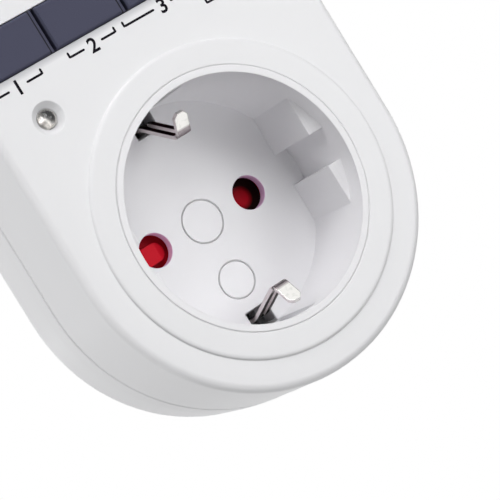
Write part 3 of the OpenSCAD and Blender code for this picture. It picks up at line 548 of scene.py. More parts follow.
# The clips' dark edge colour is a painted dark reflection along the edges of the strip.
FINISHES["clip_metal"] = finish(
    "clip_metal", (0.90, 0.89, 0.86), 0.10, 6000, 0.004, edge=(0.20, 0.17, 0.17),
    tints=[(worn, WORN_NICKEL), (knees, KNEE_PAINTED_REFLECTION), (painted_bottom_knee_reflection, KNEE_PAINTED_REFLECTION), (painted_leg_shade, LEG_PAINTED_SHADE),
           (cut_edge, CUT_NICKEL)],
    rougher=[(cut_edge, CUT_ROUGH)], Metallic=1.0, Specular_Tint=(0.45, 0.43, 0.43, 1))
nodes["lcd_connectors"].data.materials[0] = FINISHES["rubber_stripes"]
print("three more finishes for ink, striped rubber and the clips")


# %% [markdown]
# ## Floor
# The floor is a plain pale sheet well below. The camera sees it as pure white, so that it
# meets the white surroundings with no line. A white floor that took part in the light would
# shut off the three panels that stand lower than it does, so it lets all other light through.

# %% Floor
FLOOR_Z, FLOOR_HALF = -150 * MM, 3.0


def add_floor():
    mesh = bpy.data.meshes.new("floor")
    h = FLOOR_HALF
    corners = [(-h, -h, FLOOR_Z), (h, -h, FLOOR_Z), (h, h, FLOOR_Z), (-h, h, FLOOR_Z)]
    mesh.from_pydata(corners, [], [(0, 1, 2, 3)])
    sheet = bpy.data.materials.new("floor_white")
    sheet.use_nodes = True
    tree = sheet.node_tree
    tree.nodes.remove(tree.nodes["Principled BSDF"])
    white = add_node(tree, "ShaderNodeEmission")
    clear = add_node(tree, "ShaderNodeBsdfTransparent")
    tree.links.new(white.outputs[0], tree.nodes["Material Output"].inputs["Surface"])
    seen_as_white(tree, clear.outputs[0], tree.nodes["Material Output"])
    mesh.materials.append(sheet)
    floor = bpy.data.objects.new("floor", mesh)
    bpy.context.scene.collection.objects.link(floor)


add_floor()
print("floor at", FLOOR_Z)


# %% [markdown]
# ## Small helpers for new pieces
# A new piece is a mesh at the origin with its place in its points. Each one says which body
# it rides on, and which material slot it takes its finish from. A look of its own may take
# the place of the slot's finish. Faces meet softly below the sharp angle, and modifiers that
# round a piece treat any corner above the corner angle as one to soften.

# %% Piece helpers
SHARP_ANGLE, CORNER_ANGLE = math.radians(38), math.radians(40)


def as_piece(name, mesh, slot, body="case", look=None):
    piece = bpy.data.objects.new(name, mesh)
    bpy.context.scene.collection.objects.link(piece)
    mesh.materials.clear()
    mesh.materials.append(FINISHES[look or slot])
    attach(piece, body)
    return piece


def from_bmesh(name, bm, smooth=True):
    mesh = bpy.data.meshes.new(name)
    bmesh.ops.recalc_face_normals(bm, faces=bm.faces)
    for face in bm.faces:
        face.smooth = smooth
    bm.to_mesh(mesh)
    bm.free()
    mesh.set_sharp_from_angle(angle=SHARP_ANGLE)
    return mesh


def soften(piece, name, width, segments):
    soft = piece.modifiers.new(name, "BEVEL")
    soft.width = width * MM
    soft.segments = segments
    soft.limit_method = "ANGLE"
    soft.angle_limit = CORNER_ANGLE
    return soft


def thicken(piece, thickness, softness):
    thick = piece.modifiers.new("thickness", "SOLIDIFY")
    thick.thickness = thickness * MM
    thick.offset = 0
    soften(piece, "soft_edges", softness, 3).harden_normals = True


# %% [markdown]
# ## Earth clips
# Each earth contact is one strip of plated spring metal. It leaves a slot in the socket floor,
# leans in towards the plug, turns flat for a short step and then turns out in a lip with cut
# corners. A slit along the leg makes two prongs. A box bent by hand would show no true bends,
# so a ribbon of faces follows a rounded centre line, and Solidify and Bevel give it the
# thickness and soft edges of stamped metal. The top clip is a little shorter than the bottom
# one and leans a little further in.

# %% Centre line of a strip
RING_Y, SOCKET_FLOOR_Y = -47.0, -29.5
STEPS_AT_KNEE = 8


def rounded_line(knees, step):
    """Follow knees of (y, height, rounding) and set a point about every step."""
    line = [Vector(knees[0][:2])]
    for before, knee, after in zip(knees, knees[1:], knees[2:]):
        corner, r = Vector(knee[:2]), knee[2]
        a = corner + (Vector(before[:2]) - corner).normalized() * r
        b = corner + (Vector(after[:2]) - corner).normalized() * r
        for i in range(STEPS_AT_KNEE + 1):
            t = i / STEPS_AT_KNEE
            line.append(a * (1 - t) ** 2 + corner * 2 * t * (1 - t) + b * t ** 2)
    line.append(Vector(knees[-1][:2]))
    dense = [line[0]]
    for p, q in zip(line, line[1:]):
        count = max(1, round((q - p).length / step))
        dense += [p.lerp(q, i / count) for i in range(1, count + 1)]
    return dense


# %% Build both clips
CLIP_HALF_W, CLIP_T, SLIT_HALF = 1.25, 0.64, 0.4
LIP_CUT, STRIP_SOFT, CLIP_STEP = 0.7, 0.08, 0.25
CLIP_KNEES = [(-22.5, 17.5, 0), (SOCKET_FLOOR_Y, 17.5, 1.5), (RING_Y + 6.6, 14.15, 0.6),
              (RING_Y + 5.7, 14.3, 0.35), (RING_Y + 3.28, 17.55, 0)]
SLIT_FROM_Y, SLIT_TO_Y = SOCKET_FLOOR_Y - 0.2, RING_Y + 7.6
TOP_CLIP_LEAN, TOP_CLIP_SHORT = 0.1, 1.0


def clip_mesh(name, side, lean, short):
    knees = [(y if y >= SOCKET_FLOOR_Y else y + short, z, r) for y, z, r in CLIP_KNEES]
    line = rounded_line([(y, z - lean * max(0, SOCKET_FLOOR_Y - y), r) for y, z, r in knees],
                        CLIP_STEP)
    left = [sum((b - a).length for a, b in zip(line[i:], line[i + 1:])) for i in range(len(line))]
    bm = bmesh.new()
    rows = []
    for point, remaining in zip(line, left):
        half = CLIP_HALF_W - max(0.0, LIP_CUT - remaining)
        rows.append([bm.verts.new(Vector((x, point.x, side * point.y)) * MM)
                     for x in (-half, -SLIT_HALF, SLIT_HALF, half)])
    for i, (row, above) in enumerate(zip(rows, rows[1:])):
        in_slit = SLIT_TO_Y < line[i].x < SLIT_FROM_Y
        for column in range(3):
            if column == 1 and in_slit:
                continue
            bm.faces.new((row[column], row[column + 1], above[column + 1], above[column]))
    return from_bmesh(name, bm)


def add_clip(name, side, lean, short, body, node):
    mesh = clip_mesh(name, side, lean, short)
    piece = as_piece(name, mesh, "nickel", body, look="clip_metal")
    thicken(piece, CLIP_T, STRIP_SOFT)
    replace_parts(piece, node)
    print(name, "has", len(piece.data.polygons), "faces before its thickness")


add_clip("clip_strip_top", 1, TOP_CLIP_LEAN, TOP_CLIP_SHORT, "top_clip", "earth_clip_top")
add_clip("clip_strip_bottom", -1, 0, 0, "bottom_clip", "earth_clip_bottom")

# %% [markdown]
# ## Earth strips of the plug
# The plug's own earth contacts lie in channels on its top and bottom. Each is a wider strip of
# the same metal. Its tail goes through the rear wall, steps outwards and runs along the
# channel, where a long pressed ridge touches the clip of the wall socket. The ridge is a rise
# in the same ribbon of faces, because a separate bar on top would look stuck on.

# %% Earth strips
STRIP_KNEES = [(-20.0, 14.3, 0), (-17.5, 14.3, 0.4), (-17.5, 15.45, 0.4), (-1.45, 15.45, 0)]
STRIP_HALF_W, STRIP_T, STRIP_STEP, STRIP_COLUMNS = 2.6, 0.7, 0.4, 20
RIDGE_HALF_W, RIDGE_H, RIDGE_FADE = 1.0, 0.45, 1.5
RIDGE_FROM_Y, RIDGE_TO_Y = -13.5, -3.5


def ridge_height(x, y):
    inside = min(y - RIDGE_FROM_Y, RIDGE_TO_Y - y)
    if inside <= 0 or abs(x) >= RIDGE_HALF_W:
        return 0.0
    across = math.cos(x / RIDGE_HALF_W * math.pi / 2) ** 2
    return RIDGE_H * across * min(1.0, inside / RIDGE_FADE)


def add_earth_strips():
    bm = bmesh.new()
    column_w = 2 * STRIP_HALF_W / STRIP_COLUMNS
    across = [-STRIP_HALF_W + column_w * i for i in range(STRIP_COLUMNS + 1)]
    for side in (-1, 1):
        rows = [[bm.verts.new(Vector((x, p.x, side * (p.y + ridge_height(x, p.x)))) * MM)
                 for x in across] for p in rounded_line(STRIP_KNEES, STRIP_STEP)]
        for row, above in zip(rows, rows[1:]):
            for i in range(STRIP_COLUMNS):
                bm.faces.new((row[i], row[i + 1], above[i + 1], above[i]))
    piece = as_piece("earth_strips", from_bmesh("earth_strips", bm), "nickel")
    thicken(piece, STRIP_T, STRIP_SOFT)
    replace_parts(piece, "plug_earth_strips")
    return piece


print("earth strips:", len(add_earth_strips().data.polygons), "faces before their thickness")

# %% [markdown]
# ## Turned pieces, bent rods and ink
# Three small makers serve many pieces. A lathe turns a profile about an axis, a rod follows a
# few points as a smooth curve with a round section, and ink is a very thin layer cut from flat
# outlines. Stock cylinders would do for none of them, because real cans, wires and letters have
# rims, bends and strokes. A curve or a text is turned into a plain mesh before it gets its
# place, and its caps are welded to its sides, so that every piece is closed.

# %% Lathe
ROUND_SIDES, SMALL_SIDES = 48, 24


def turned(profile, centre, axis="Y", sides=ROUND_SIDES, bm=None, closed=False):
    bm = bm or bmesh.new()
    along = Vector([float(letter == axis) for letter in "XYZ"])
    u = Vector((0, 0, 1)) if axis == "X" else Vector((1, 0, 0))
    v = along.cross(u)
    middle = Vector(centre) - along * Vector(centre).dot(along)
    rings = []
    for height, radius in profile:
        count = sides if radius > 0 else 1
        spokes = [math.tau * k / count for k in range(count)]
        rings.append([bm.verts.new((middle + along * height
                                    + radius * (math.cos(a) * u + math.sin(a) * v)) * MM)
                      for a in spokes])
    if closed:
        rings.append(rings[0])
    for near, far in zip(rings, rings[1:]):
        for k in range(sides):
            corners = [near[k % len(near)], near[(k + 1) % len(near)],
                       far[(k + 1) % len(far)], far[k % len(far)]]
            corners = list(dict.fromkeys(corners))
            if len(corners) > 2:
                bm.faces.new(corners)
    return bm


def turned_piece(name, slot, profile, centre, axis="Y", node=None, sides=ROUND_SIDES):
    piece = as_piece(name, from_bmesh(name, turned(profile, centre, axis, sides)), slot)
    if node:
        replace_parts(piece, node)
    return piece


# %% Rods and plain meshes from curves
CURVE_WELD, CURVE_STEPS = 0.000001, 5


def plain_mesh(name, data):
    maker = bpy.data.objects.new(name + "_maker", data)
    bpy.context.scene.collection.objects.link(maker)
    shape = maker.evaluated_get(bpy.context.evaluated_depsgraph_get())
    mesh = bpy.data.meshes.new_from_object(shape)
    bpy.data.objects.remove(maker)
    bm = bmesh.new()
    bm.from_mesh(mesh)
    bpy.data.meshes.remove(mesh)
    bmesh.ops.remove_doubles(bm, verts=bm.verts, dist=CURVE_WELD)
    bmesh.ops.dissolve_degenerate(bm, edges=bm.edges, dist=CURVE_WELD)
    return from_bmesh(name, bm)


def rods(name, slot, routes, radius, node=None, round_steps=3):
    curve = bpy.data.curves.new(name, "CURVE")
    curve.dimensions = "3D"
    curve.bevel_depth = radius * MM
    curve.bevel_resolution = round_steps
    curve.use_fill_caps = True
    for route in routes:
        spline = curve.splines.new("NURBS")
        spline.points.add(len(route) - 1)
        for point, place in zip(spline.points, route):
            point.co = (*(Vector(place) * MM), 1)
        spline.order_u = min(3, len(route))
        spline.use_endpoint_u = True
        spline.resolution_u = CURVE_STEPS
    piece = as_piece(name, plain_mesh(name, curve), slot)
    if node:
        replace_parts(piece, node)
    return piece


# %% Ink
INK = 0.02
TEXT_HALF_DEPTH, TEXT_WEIGHT, TEXT_STEPS = 0.01, 0.02, 3


def ink_shape(bm, outline, y):
    near = [bm.verts.new(Vector((x, y - INK, z)) * MM) for x, z in outline]
    far = [bm.verts.new(Vector((x, y, z)) * MM) for x, z in outline]
    bm.faces.new(near)
    bm.faces.new(far[::-1])
    for i in range(len(near)):
        j = (i + 1) % len(near)
        bm.faces.new((near[i], far[i], far[j], near[j]))


def ink_bar(bm, start, end, width, y):
    a, b = Vector(start), Vector(end)
    step = (b - a).normalized() * width / 2
    side = Vector((-step.y, step.x))
    ink_shape(bm, [a, a + step + side, b - step + side, b, b - step - side, a + step - side], y)


def ink_text(bm, text, x, z, height, y):
    curve = bpy.data.curves.new("figure", "FONT")
    curve.body = text
    curve.extrude = TEXT_HALF_DEPTH
    curve.offset = TEXT_WEIGHT
    curve.resolution_u = TEXT_STEPS
    mesh = plain_mesh("figure", curve)
    width = max(v.co.x for v in mesh.vertices) + min(v.co.x for v in mesh.vertices)
    tall = max(v.co.y for v in mesh.vertices)
    for vertex in mesh.vertices:
        u, v, w = vertex.co
        vertex.co = Vector((x + (u - width / 2) * height / tall, y - (INK if w > 0 else 0),
                            z + v * height / tall)) * MM
    bm.from_mesh(mesh)
    bpy.data.meshes.remove(mesh)


# %% [markdown]
# ## Marks on the front
# The keys are told apart by plain figures. Each lower key has one under it, on a thin line with
# two short ticks that point to the key. Printed ink could be a colour in the cover's finish,
# but a layer of real thickness keeps crisp strokes at any distance.

# %% Key marks
MARKS = [(-22.1, 31.3, 8.9), (-8.2, 31.3, 8.6), (5.1, 31.3, 14.6), (18.4, 28.2, 13.0)]
FIGURE_H, LINE_W, TICK_H, FIGURE_ROOM = 2.3, 0.36, 0.9, 1.5
UPPER_MARK_Z, UPPER_FIGURE_H = 42.6, 1.6
KEYS_IN_ROW = 4


def add_key_marks():
    bm = bmesh.new()
    for i, (x, z, wide) in enumerate(MARKS):
        ink_text(bm, str(i + 1), x, z - FIGURE_H / 2, FIGURE_H, FACE_Y)
        for side in (-1, 1):
            end = x + side * wide / 2
            ink_bar(bm, (x + side * FIGURE_ROOM, z), (end, z), LINE_W, FACE_Y)
            ink_bar(bm, (end, z - LINE_W / 2), (end, z + TICK_H), LINE_W, FACE_Y)
    for i in range(KEYS_IN_ROW):
        x = KEY_ROW_X + (i - (KEYS_IN_ROW - 1) / 2) * KEY_PITCH
        figure = str(len(MARKS) + i + 1)
        ink_text(bm, figure, x, UPPER_MARK_Z, UPPER_FIGURE_H, FACE_Y)
    mesh = from_bmesh("key_marks", bm, smooth=False)
    return as_piece("key_marks", mesh, "black_plastic", look="ink")


print("key marks:", len(add_key_marks().data.polygons), "faces")

# %% [markdown]
# ## Rings on the socket floor
# The mould leaves two fine raised rings on the floor of the socket. Bump in a material would
# vanish from the mesh, so a lathe turns a closed section, and each ring is a solid of its own
# that stands a hair above the floor.

# %% Floor rings
FLOOR_RINGS = [(0, 0, 3.35), (-0.2, -10.6, 2.9)]
RING_RISE, RING_WIDE, RING_SIDES = 0.012, 0.3, 72
CREST_FROM, CREST_TO = 0.3, 0.7


def add_floor_rings():
    bm = bmesh.new()
    top_y = SOCKET_FLOOR_Y - RING_RISE
    for x, z, r in FLOOR_RINGS:
        section = [(SOCKET_FLOOR_Y, r), (top_y, r + RING_WIDE * CREST_FROM),
                   (top_y, r + RING_WIDE * CREST_TO), (SOCKET_FLOOR_Y, r + RING_WIDE)]
        turned(section, (x, 0, z), sides=RING_SIDES, bm=bm, closed=True)
    return as_piece("floor_rings", from_bmesh("floor_rings", bm), "insert_white")


print("floor rings:", len(add_floor_rings().data.polygons), "faces")

# %% [markdown]
# ## Joint round the insert
# The insert is pressed into the cover, and from outside the joint is a closed hairline, not an
# open gap. The two solids need clearance to be separate, so a narrow turned bead fills it just
# below the front and leaves only the hairline.

# %% Bead in the joint
BEAD_IN, BEAD_OUT, BEAD_FRONT_Y, BEAD_BACK_Y, BEAD_SIDES = 20.605, 20.695, -46.93, -46.2, 160
bead = [(BEAD_FRONT_Y, BEAD_IN), (BEAD_FRONT_Y, BEAD_OUT), (BEAD_BACK_Y, BEAD_OUT),
        (BEAD_BACK_Y, BEAD_IN)]
joint = from_bmesh("insert_bead", turned(bead, (0, 0, 0), sides=BEAD_SIDES, closed=True))
as_piece("insert_bead", joint, "insert_white")
print("bead:", len(joint.polygons), "faces")

# %% [markdown]
# ## Display
# The digits of a plain display are made of seven bars each, a little slanted, with a colon
# between hours and minutes and a row of dashes for the days. A text font would not have the
# gaps between the bars, so each bar is its own outline of ink on the front of the glass panel.
# A printed border hides the panel's edge behind the clear window.

# %% Digits
GLASS_FRONT_Y, WINDOW_BACK_Y = -43.1, -45.55
DISPLAY_Z, DIGIT_H, DIGIT_W, BAR = 66.6, 10.6, 5.2, 1.15
DIGIT_LEAN, BAR_GAP = 0.35, 0.16
BARS = {"a": ((0, 2), (1, 2)), "b": ((1, 1), (1, 2)), "c": ((1, 0), (1, 1)),
        "d": ((0, 0), (1, 0)), "e": ((0, 0), (0, 1)), "f": ((0, 1), (0, 2)),
        "g": ((0, 1), (1, 1))}
DIGITS = {"0": "abcdef", "1": "bc", "2": "abdeg", "3": "abcdg"}
SHOWN = {-17.6: "1", -9.2: "2", 4.0: "3", 12.4: "0"}
COLON_OFF, COLON_HALF_W, COLON_H = 2.25, 0.75, 1.3
DAYS, DAY_X, DAY_PITCH, DAY_W, DAY_Z, DAY_H = 7, -17.4, 5.4, 2.8, 75.2, 0.8


def add_digits():
    bm = bmesh.new()
    for x, digit in SHOWN.items():
        for bar in DIGITS[digit]:
            start, end = (Vector((x + u * DIGIT_W + v * DIGIT_LEAN,
                                  DISPLAY_Z + (v - 1) * DIGIT_H / 2)) for u, v in BARS[bar])
            gap = (end - start).normalized() * BAR_GAP
            ink_bar(bm, start + gap, end - gap, BAR, GLASS_FRONT_Y)
    for v in (-COLON_OFF, COLON_OFF):
        ink_bar(bm, (-COLON_HALF_W, DISPLAY_Z + v), (COLON_HALF_W, DISPLAY_Z + v), COLON_H,
                GLASS_FRONT_Y)
    for i in range(DAYS):
        x = DAY_X + DAY_PITCH * i
        ink_bar(bm, (x, DAY_Z), (x + DAY_W, DAY_Z), DAY_H, GLASS_FRONT_Y)
    mesh = from_bmesh("display_digits", bm, smooth=False)
    return as_piece("display_digits", mesh, "black_plastic", look="ink")


print("digits:", len(add_digits().data.polygons), "faces")

# %% Border behind the window
BORDER_Z = 67.5
OPEN_HALF_W, OPEN_HALF_H, BORDER_HALF_W, BORDER_HALF_H = 19.8, 9.0, 22.9, 11.8


def add_border():
    bm = bmesh.new()
    w, h, out_w, out_h = OPEN_HALF_W, OPEN_HALF_H, BORDER_HALF_W, BORDER_HALF_H
    for x0, x1, z0, z1 in ((-out_w, -w, -out_h, out_h), (w, out_w, -out_h, out_h),
                           (-w, w, h, out_h), (-w, w, -out_h, -h)):
        corners = [(x0, z0), (x1, z0), (x1, z1), (x0, z1)]
        ink_shape(bm, [(x, BORDER_Z + z) for x, z in corners], WINDOW_BACK_Y + 2 * INK)
    return as_piece("window_border", from_bmesh("window_border", bm, smooth=False), "slate_key")


print("border:", len(add_border().data.polygons), "faces")

# %% [markdown]
# ## Lamp
# The lamp is a clear domed body cast round two wires, with a flange at its foot. One wire ends
# in a small bright cup that holds the glowing chip, and a hair-thin gold wire joins the chip to
# the other one. A painted picture of all that would stay flat, but the dome is a real lens
# here, so the cup looks large through it and shifts as the view moves.

# %% Lamp body
LAMP_X, LAMP_Z, LAMP_R = -20.5, 25.2, 1.5
LAMP_AXIS = (LAMP_X, 0, LAMP_Z)
DOME_Y, LAMP_BASE_Y = -45.45, -41.2
DOME_STEPS, DOME_STEP = 12, math.radians(7.5)
FLANGE = [(-0.8, 0), (-0.75, 0.35), (-0.65, 0.4), (-0.1, 0.4), (0, 0.3)]
SEAT_FRONT_Y, SEAT_BACK_Y, SEAT_R = -41.15, -40.6, LAMP_R + 0.3


def add_lamp_body():
    dome = [(DOME_Y - LAMP_R * math.cos(DOME_STEP * i), LAMP_R * math.sin(DOME_STEP * i))
            for i in range(1, DOME_STEPS + 1)]
    foot = [(LAMP_BASE_Y + y, LAMP_R + out) for y, out in FLANGE]
    turned_piece("lamp_lens", "lens_clear",
                 [(DOME_Y - LAMP_R, 0)] + dome + foot + [(LAMP_BASE_Y, 0)], LAMP_AXIS,
                 node="status_led")
    turned_piece("lamp_seat", "black_plastic",
                 [(SEAT_FRONT_Y, 0), (SEAT_FRONT_Y, SEAT_R), (SEAT_BACK_Y, SEAT_R),
                  (SEAT_BACK_Y, 0)], LAMP_AXIS)


add_lamp_body()
print("lamp dome at", DOME_Y - LAMP_R)

# %% Inside the lamp
CUP_AXIS = (LAMP_X - 0.1, 0, LAMP_Z - 0.3)
CUP = [(-43.0, 0), (-43.0, 0.7), (-43.9, 0.97), (-43.9, 0.86), (-43.35, 0.56), (-43.3, 0)]
CHIP = [(-43.6, 0), (-43.6, 0.16), (-43.3, 0.16), (-43.3, 0)]
CUP_WIRE = [(0, -43.0, 0), (0.5, -42.6, 0), (0.64, -41.5, 0), (0.64, -38.1, 0)]
OTHER_WIRE = [(-0.75, -43.9, 0), (-0.72, -42.6, 0), (-0.64, -41.5, 0), (-0.64, -38.1, 0)]
BOND = [(-0.75, -43.9, 0), (-0.5, -44.3, 0.05), (0, -43.6, 0)]
LAMP_WIRE_R, BOND_R = 0.22, 0.04


def in_lamp(route):
    return [(LAMP_X + x, y, LAMP_Z + z) for x, y, z in route]


turned_piece("lamp_cup", "nickel", CUP, CUP_AXIS, sides=32)
turned_piece("lamp_chip", "brass", CHIP, CUP_AXIS, sides=4)
rods("lamp_wires", "nickel", [in_lamp(CUP_WIRE), in_lamp(OTHER_WIRE)], LAMP_WIRE_R)
rods("lamp_bond", "brass", [in_lamp(BOND)], BOND_R)
print("a cup, a chip, two wires and a bond inside the lamp")

# %% [markdown]
# ## Coils
# A spring and a winding are the same shape: a wire on a helix. So one Geometry Nodes tree
# serves both. It draws a spiral curve, turns it on its axis and sweeps a round wire along it.
# Its inputs are the wire, the coil's radius, length and turns, and its place. The Screw
# modifier could do it too, but a tree takes its sizes by name. The result is baked to a plain
# mesh, and the modifier is gone before the piece gets its body.

# %% Geometry Nodes helpers
def new_tree(name, inputs):
    tree = bpy.data.node_groups.new(name, "GeometryNodeTree")
    tree.interface.new_socket("Geometry", in_out="OUTPUT", socket_type="NodeSocketGeometry")
    tree.interface.new_socket("Geometry", in_out="INPUT", socket_type="NodeSocketGeometry")
    for label, kind in inputs.items():
        tree.interface.new_socket(label, in_out="INPUT", socket_type="NodeSocket" + kind)
    given = tree.nodes.new("NodeGroupInput")
    return tree, given.outputs, tree.nodes.new("NodeGroupOutput")


def end_tree(tree, given, made, shape):
    realize = add_node(tree, "GeometryNodeRealizeInstances", {0: shape})
    paint = add_node(tree, "GeometryNodeSetMaterial", {
        "Geometry": realize.outputs[0], "Material": given["Material"]})
    tree.links.new(paint.outputs[0], made.inputs[0])
    return tree


def baked(name, tree, slot, points=(), **values):
    seed = bpy.data.meshes.new(name + "_seed")
    seed.from_pydata([Vector(p) * MM for p in points], [], [])
    maker = bpy.data.objects.new(name + "_maker", seed)
    bpy.context.scene.collection.objects.link(maker)
    modifier = maker.modifiers.new("shape", "NODES")
    modifier.node_group = tree
    values["Material"] = FINISHES[slot]
    for socket in tree.interface.items_tree:
        if socket.in_out == "INPUT" and socket.name in values:
            modifier[socket.identifier] = values[socket.name]
    shape = maker.evaluated_get(bpy.context.evaluated_depsgraph_get())
    mesh = bpy.data.meshes.new_from_object(shape)
    maker.modifiers.clear()
    bpy.data.objects.remove(maker)
    mesh.name = name
    bm = bmesh.new()
    bm.from_mesh(mesh)
    bpy.data.meshes.remove(mesh)
    return from_bmesh(name, bm)


# %% The coil tree
STEPS_A_TURN, WIRE_SIDES = 24, 8


def make_coil_tree():
    tree, given, made = new_tree("coil", {"Material": "Material", "Wire": "Float",
                                          "Radius": "Float", "Length": "Float", "Turns": "Float",
                                          "Place": "Vector", "Turned": "Vector"})
    spiral = add_node(tree, "GeometryNodeCurveSpiral", {
        "Resolution": STEPS_A_TURN, "Rotations": given["Turns"], "Start Radius": given["Radius"],
        "End Radius": given["Radius"], "Height": given["Length"], "Reverse": True})
    lay = add_node(tree, "GeometryNodeTransform", {
        "Geometry": spiral.outputs[0], "Translation": given["Place"],
        "Rotation": given["Turned"]})
    section = add_node(tree, "GeometryNodeCurvePrimitiveCircle", {
        "Resolution": WIRE_SIDES, "Radius": given["Wire"]})
    sweep = add_node(tree, "GeometryNodeCurveToMesh", {
        "Curve": lay.outputs[0], "Profile Curve": section.outputs[0], "Fill Caps": True})
    return end_tree(tree, given, made, sweep.outputs[0])


COIL = make_coil_tree()
print("coil tree with", len(COIL.nodes), "nodes")

# %% [markdown]
# ## Spring behind the shutter
# A flat coil spring round the shutter's hub turns it back over the contact holes when a plug
# is pulled out. It sits in a narrow space, so its two and a half turns are close together.

# %% Shutter spring
SPRING_WIRE_R, SPRING_R, SPRING_L, SPRING_TURNS = 0.2, 3.9, 1.05, 2.5
SPRING_PLACE, TO_Y_AXIS = (0, -27.3, 0), (-math.pi / 2, 0, 0)
spring = as_piece("shutter_return_spring", baked(
    "shutter_return_spring", COIL, "nickel", Wire=SPRING_WIRE_R * MM, Radius=SPRING_R * MM,
    Length=SPRING_L * MM, Turns=SPRING_TURNS, Place=Vector(SPRING_PLACE) * MM,
    Turned=TO_Y_AXIS), "nickel")
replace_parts(spring, "shutter_spring")
print("spring:", len(spring.data.polygons), "faces")

# %% [markdown]
# ## Relay coil
# The relay's coil is a bobbin with two square cheeks, wound with thin copper wire. A striped
# cylinder would pass for it from afar, but real turns catch the light one by one. So the bobbin
# is a turned core between two thin plates with a hole for the iron core, and the winding comes
# from the coil tree, one layer of turns that lie side by side.

# %% Bobbin and winding
COIL_Y, COIL_Z, COIL_X0, COIL_L = -29.8, 44.3, -21.6, 13.0
CHEEK_T, CHEEK_FRONT, CHEEK_BACK, CHEEK_HALF_H = 0.8, -3.9, 3.6, 4.4
CORE_R, BORE_R, WINDING_R, TURNS = 3.1, 1.65, 0.16, 34
TO_X_AXIS = (0, math.pi / 2, 0)


def add_block(bm, low, high):
    made = bmesh.ops.create_cube(bm, size=1)
    for vertex in made["verts"]:
        vertex.co = Vector([(a + b) / 2 + c * (b - a)
                            for a, b, c in zip(low, high, vertex.co)]) * MM


def add_bobbin():
    bm = bmesh.new()
    near_x, far_x = COIL_X0 + CHEEK_T, COIL_X0 + COIL_L - CHEEK_T
    tube = [(near_x, BORE_R), (near_x, CORE_R), (far_x, CORE_R), (far_x, BORE_R)]
    turned(tube, (0, COIL_Y, COIL_Z), "X", bm=bm, closed=True)
    around_bore = [((CHEEK_FRONT, -CHEEK_HALF_H), (-BORE_R, CHEEK_HALF_H)),
                   ((BORE_R, -CHEEK_HALF_H), (CHEEK_BACK, CHEEK_HALF_H)),
                   ((-BORE_R, -CHEEK_HALF_H), (BORE_R, -BORE_R)),
                   ((-BORE_R, BORE_R), (BORE_R, CHEEK_HALF_H))]
    for x in (COIL_X0, far_x):
        for low, high in around_bore:
            add_block(bm, (x, COIL_Y + low[0], COIL_Z + low[1]),
                      (x + CHEEK_T, COIL_Y + high[0], COIL_Z + high[1]))
    piece = as_piece("relay_bobbin", from_bmesh("relay_bobbin", bm), "black_plastic")
    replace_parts(piece, "relay_coil")


def add_winding():
    length = COIL_L - 2 * CHEEK_T - 2 * WINDING_R
    start = (COIL_X0 + CHEEK_T + WINDING_R, COIL_Y, COIL_Z)
    as_piece("relay_winding", baked(
        "relay_winding", COIL, "winding", Wire=WINDING_R * MM, Radius=(CORE_R + WINDING_R) * MM,
        Length=length * MM, Turns=TURNS, Turned=TO_X_AXIS, Place=Vector(start) * MM), "winding")


add_bobbin()
add_winding()
print("bobbin and", TURNS, "turns of wire")

# %% [markdown]
# ## Solder joints
# Each lead of the parts on the power board ends in a small cone of solder on the board's back.
# Copies of one cone would all be alike, and hand-made joints differ a little in size. One tree
# puts a cone on every point of a list and varies it, and a fixed seed keeps the sizes the same
# each time.

# %% Joint tree
CONE_SIDES, TIP_SHARE = 12, 0.35
POWER_BACK_Y = -22.4


def float_socket(sockets, name):
    return next(s for s in sockets if s.name == name and s.type == "VALUE" and s.enabled)


def make_joint_tree():
    tree, given, made = new_tree("joints", {"Material": "Material", "Foot": "Float",
                                            "Height": "Float", "Vary": "Float", "Seed": "Int"})
    cone = add_node(tree, "GeometryNodeMeshCone", {
        "Vertices": CONE_SIDES, "Radius Top": maths(tree, "MULTIPLY", given["Foot"], TIP_SHARE),
        "Radius Bottom": given["Foot"], "Depth": given["Height"]})
    size = add_node(tree, "FunctionNodeRandomValue", {"Seed": given["Seed"]})
    for label, operation in (("Min", "SUBTRACT"), ("Max", "ADD")):
        limit = maths(tree, operation, 1.0, given["Vary"])
        tree.links.new(limit, float_socket(size.inputs, label))
    place = add_node(tree, "GeometryNodeInstanceOnPoints", {
        "Points": given["Geometry"], "Instance": cone.outputs["Mesh"], "Rotation": TO_Y_AXIS,
        "Scale": float_socket(size.outputs, "Value")})
    return end_tree(tree, given, made, place.outputs[0])


# %% Joints
JOINTS = [(-23, 39.2), (-23, 49.4), (-12, 39.2), (-12, 49.4), (2, 42), (2, 46.6), (9, 44.2),
          (23, 44.2), (-21.5, 62), (-16.5, 62), (9.5, 32.5), (13.5, 32.5), (21, 30.5), (21, 35.1),
          (-9.3, 55.8), (-8, 55.8), (-6.7, 55.8), (-7, 27.5), (7, 27.5), (-11, 27.5)]
RESISTOR_ZS = [66.5 + 3.4 * i for i in range(4)]
DIODE_XS = [11.5 + 3.2 * i for i in range(4)]
JOINTS += [(x, z) for z in RESISTOR_ZS for x in (10.2, 19.8)]
JOINTS += [(x, z) for x in DIODE_XS for z in (57, 63.6)]
FOOT_R, JOINT_H, JOINT_VARY, JOINT_SEED = 0.9, 1.0, 0.18, 7
joints = as_piece("solder_joints", baked(
    "solder_joints", make_joint_tree(), "nickel", [(x, POWER_BACK_Y, z) for x, z in JOINTS],
    Foot=FOOT_R * MM, Height=JOINT_H * MM, Vary=JOINT_VARY, Seed=JOINT_SEED), "nickel")
print(len(JOINTS), "solder joints:", len(joints.data.polygons), "faces")

# %% [markdown]
# ## Wires
# Three insulated wires run from the contacts up to the power board. Soft wire bends in one
# smooth sweep, and a chain of straight pieces would show its corners. So each is one round rod
# along the centre line of its solid, and its stripped copper shows at both ends.

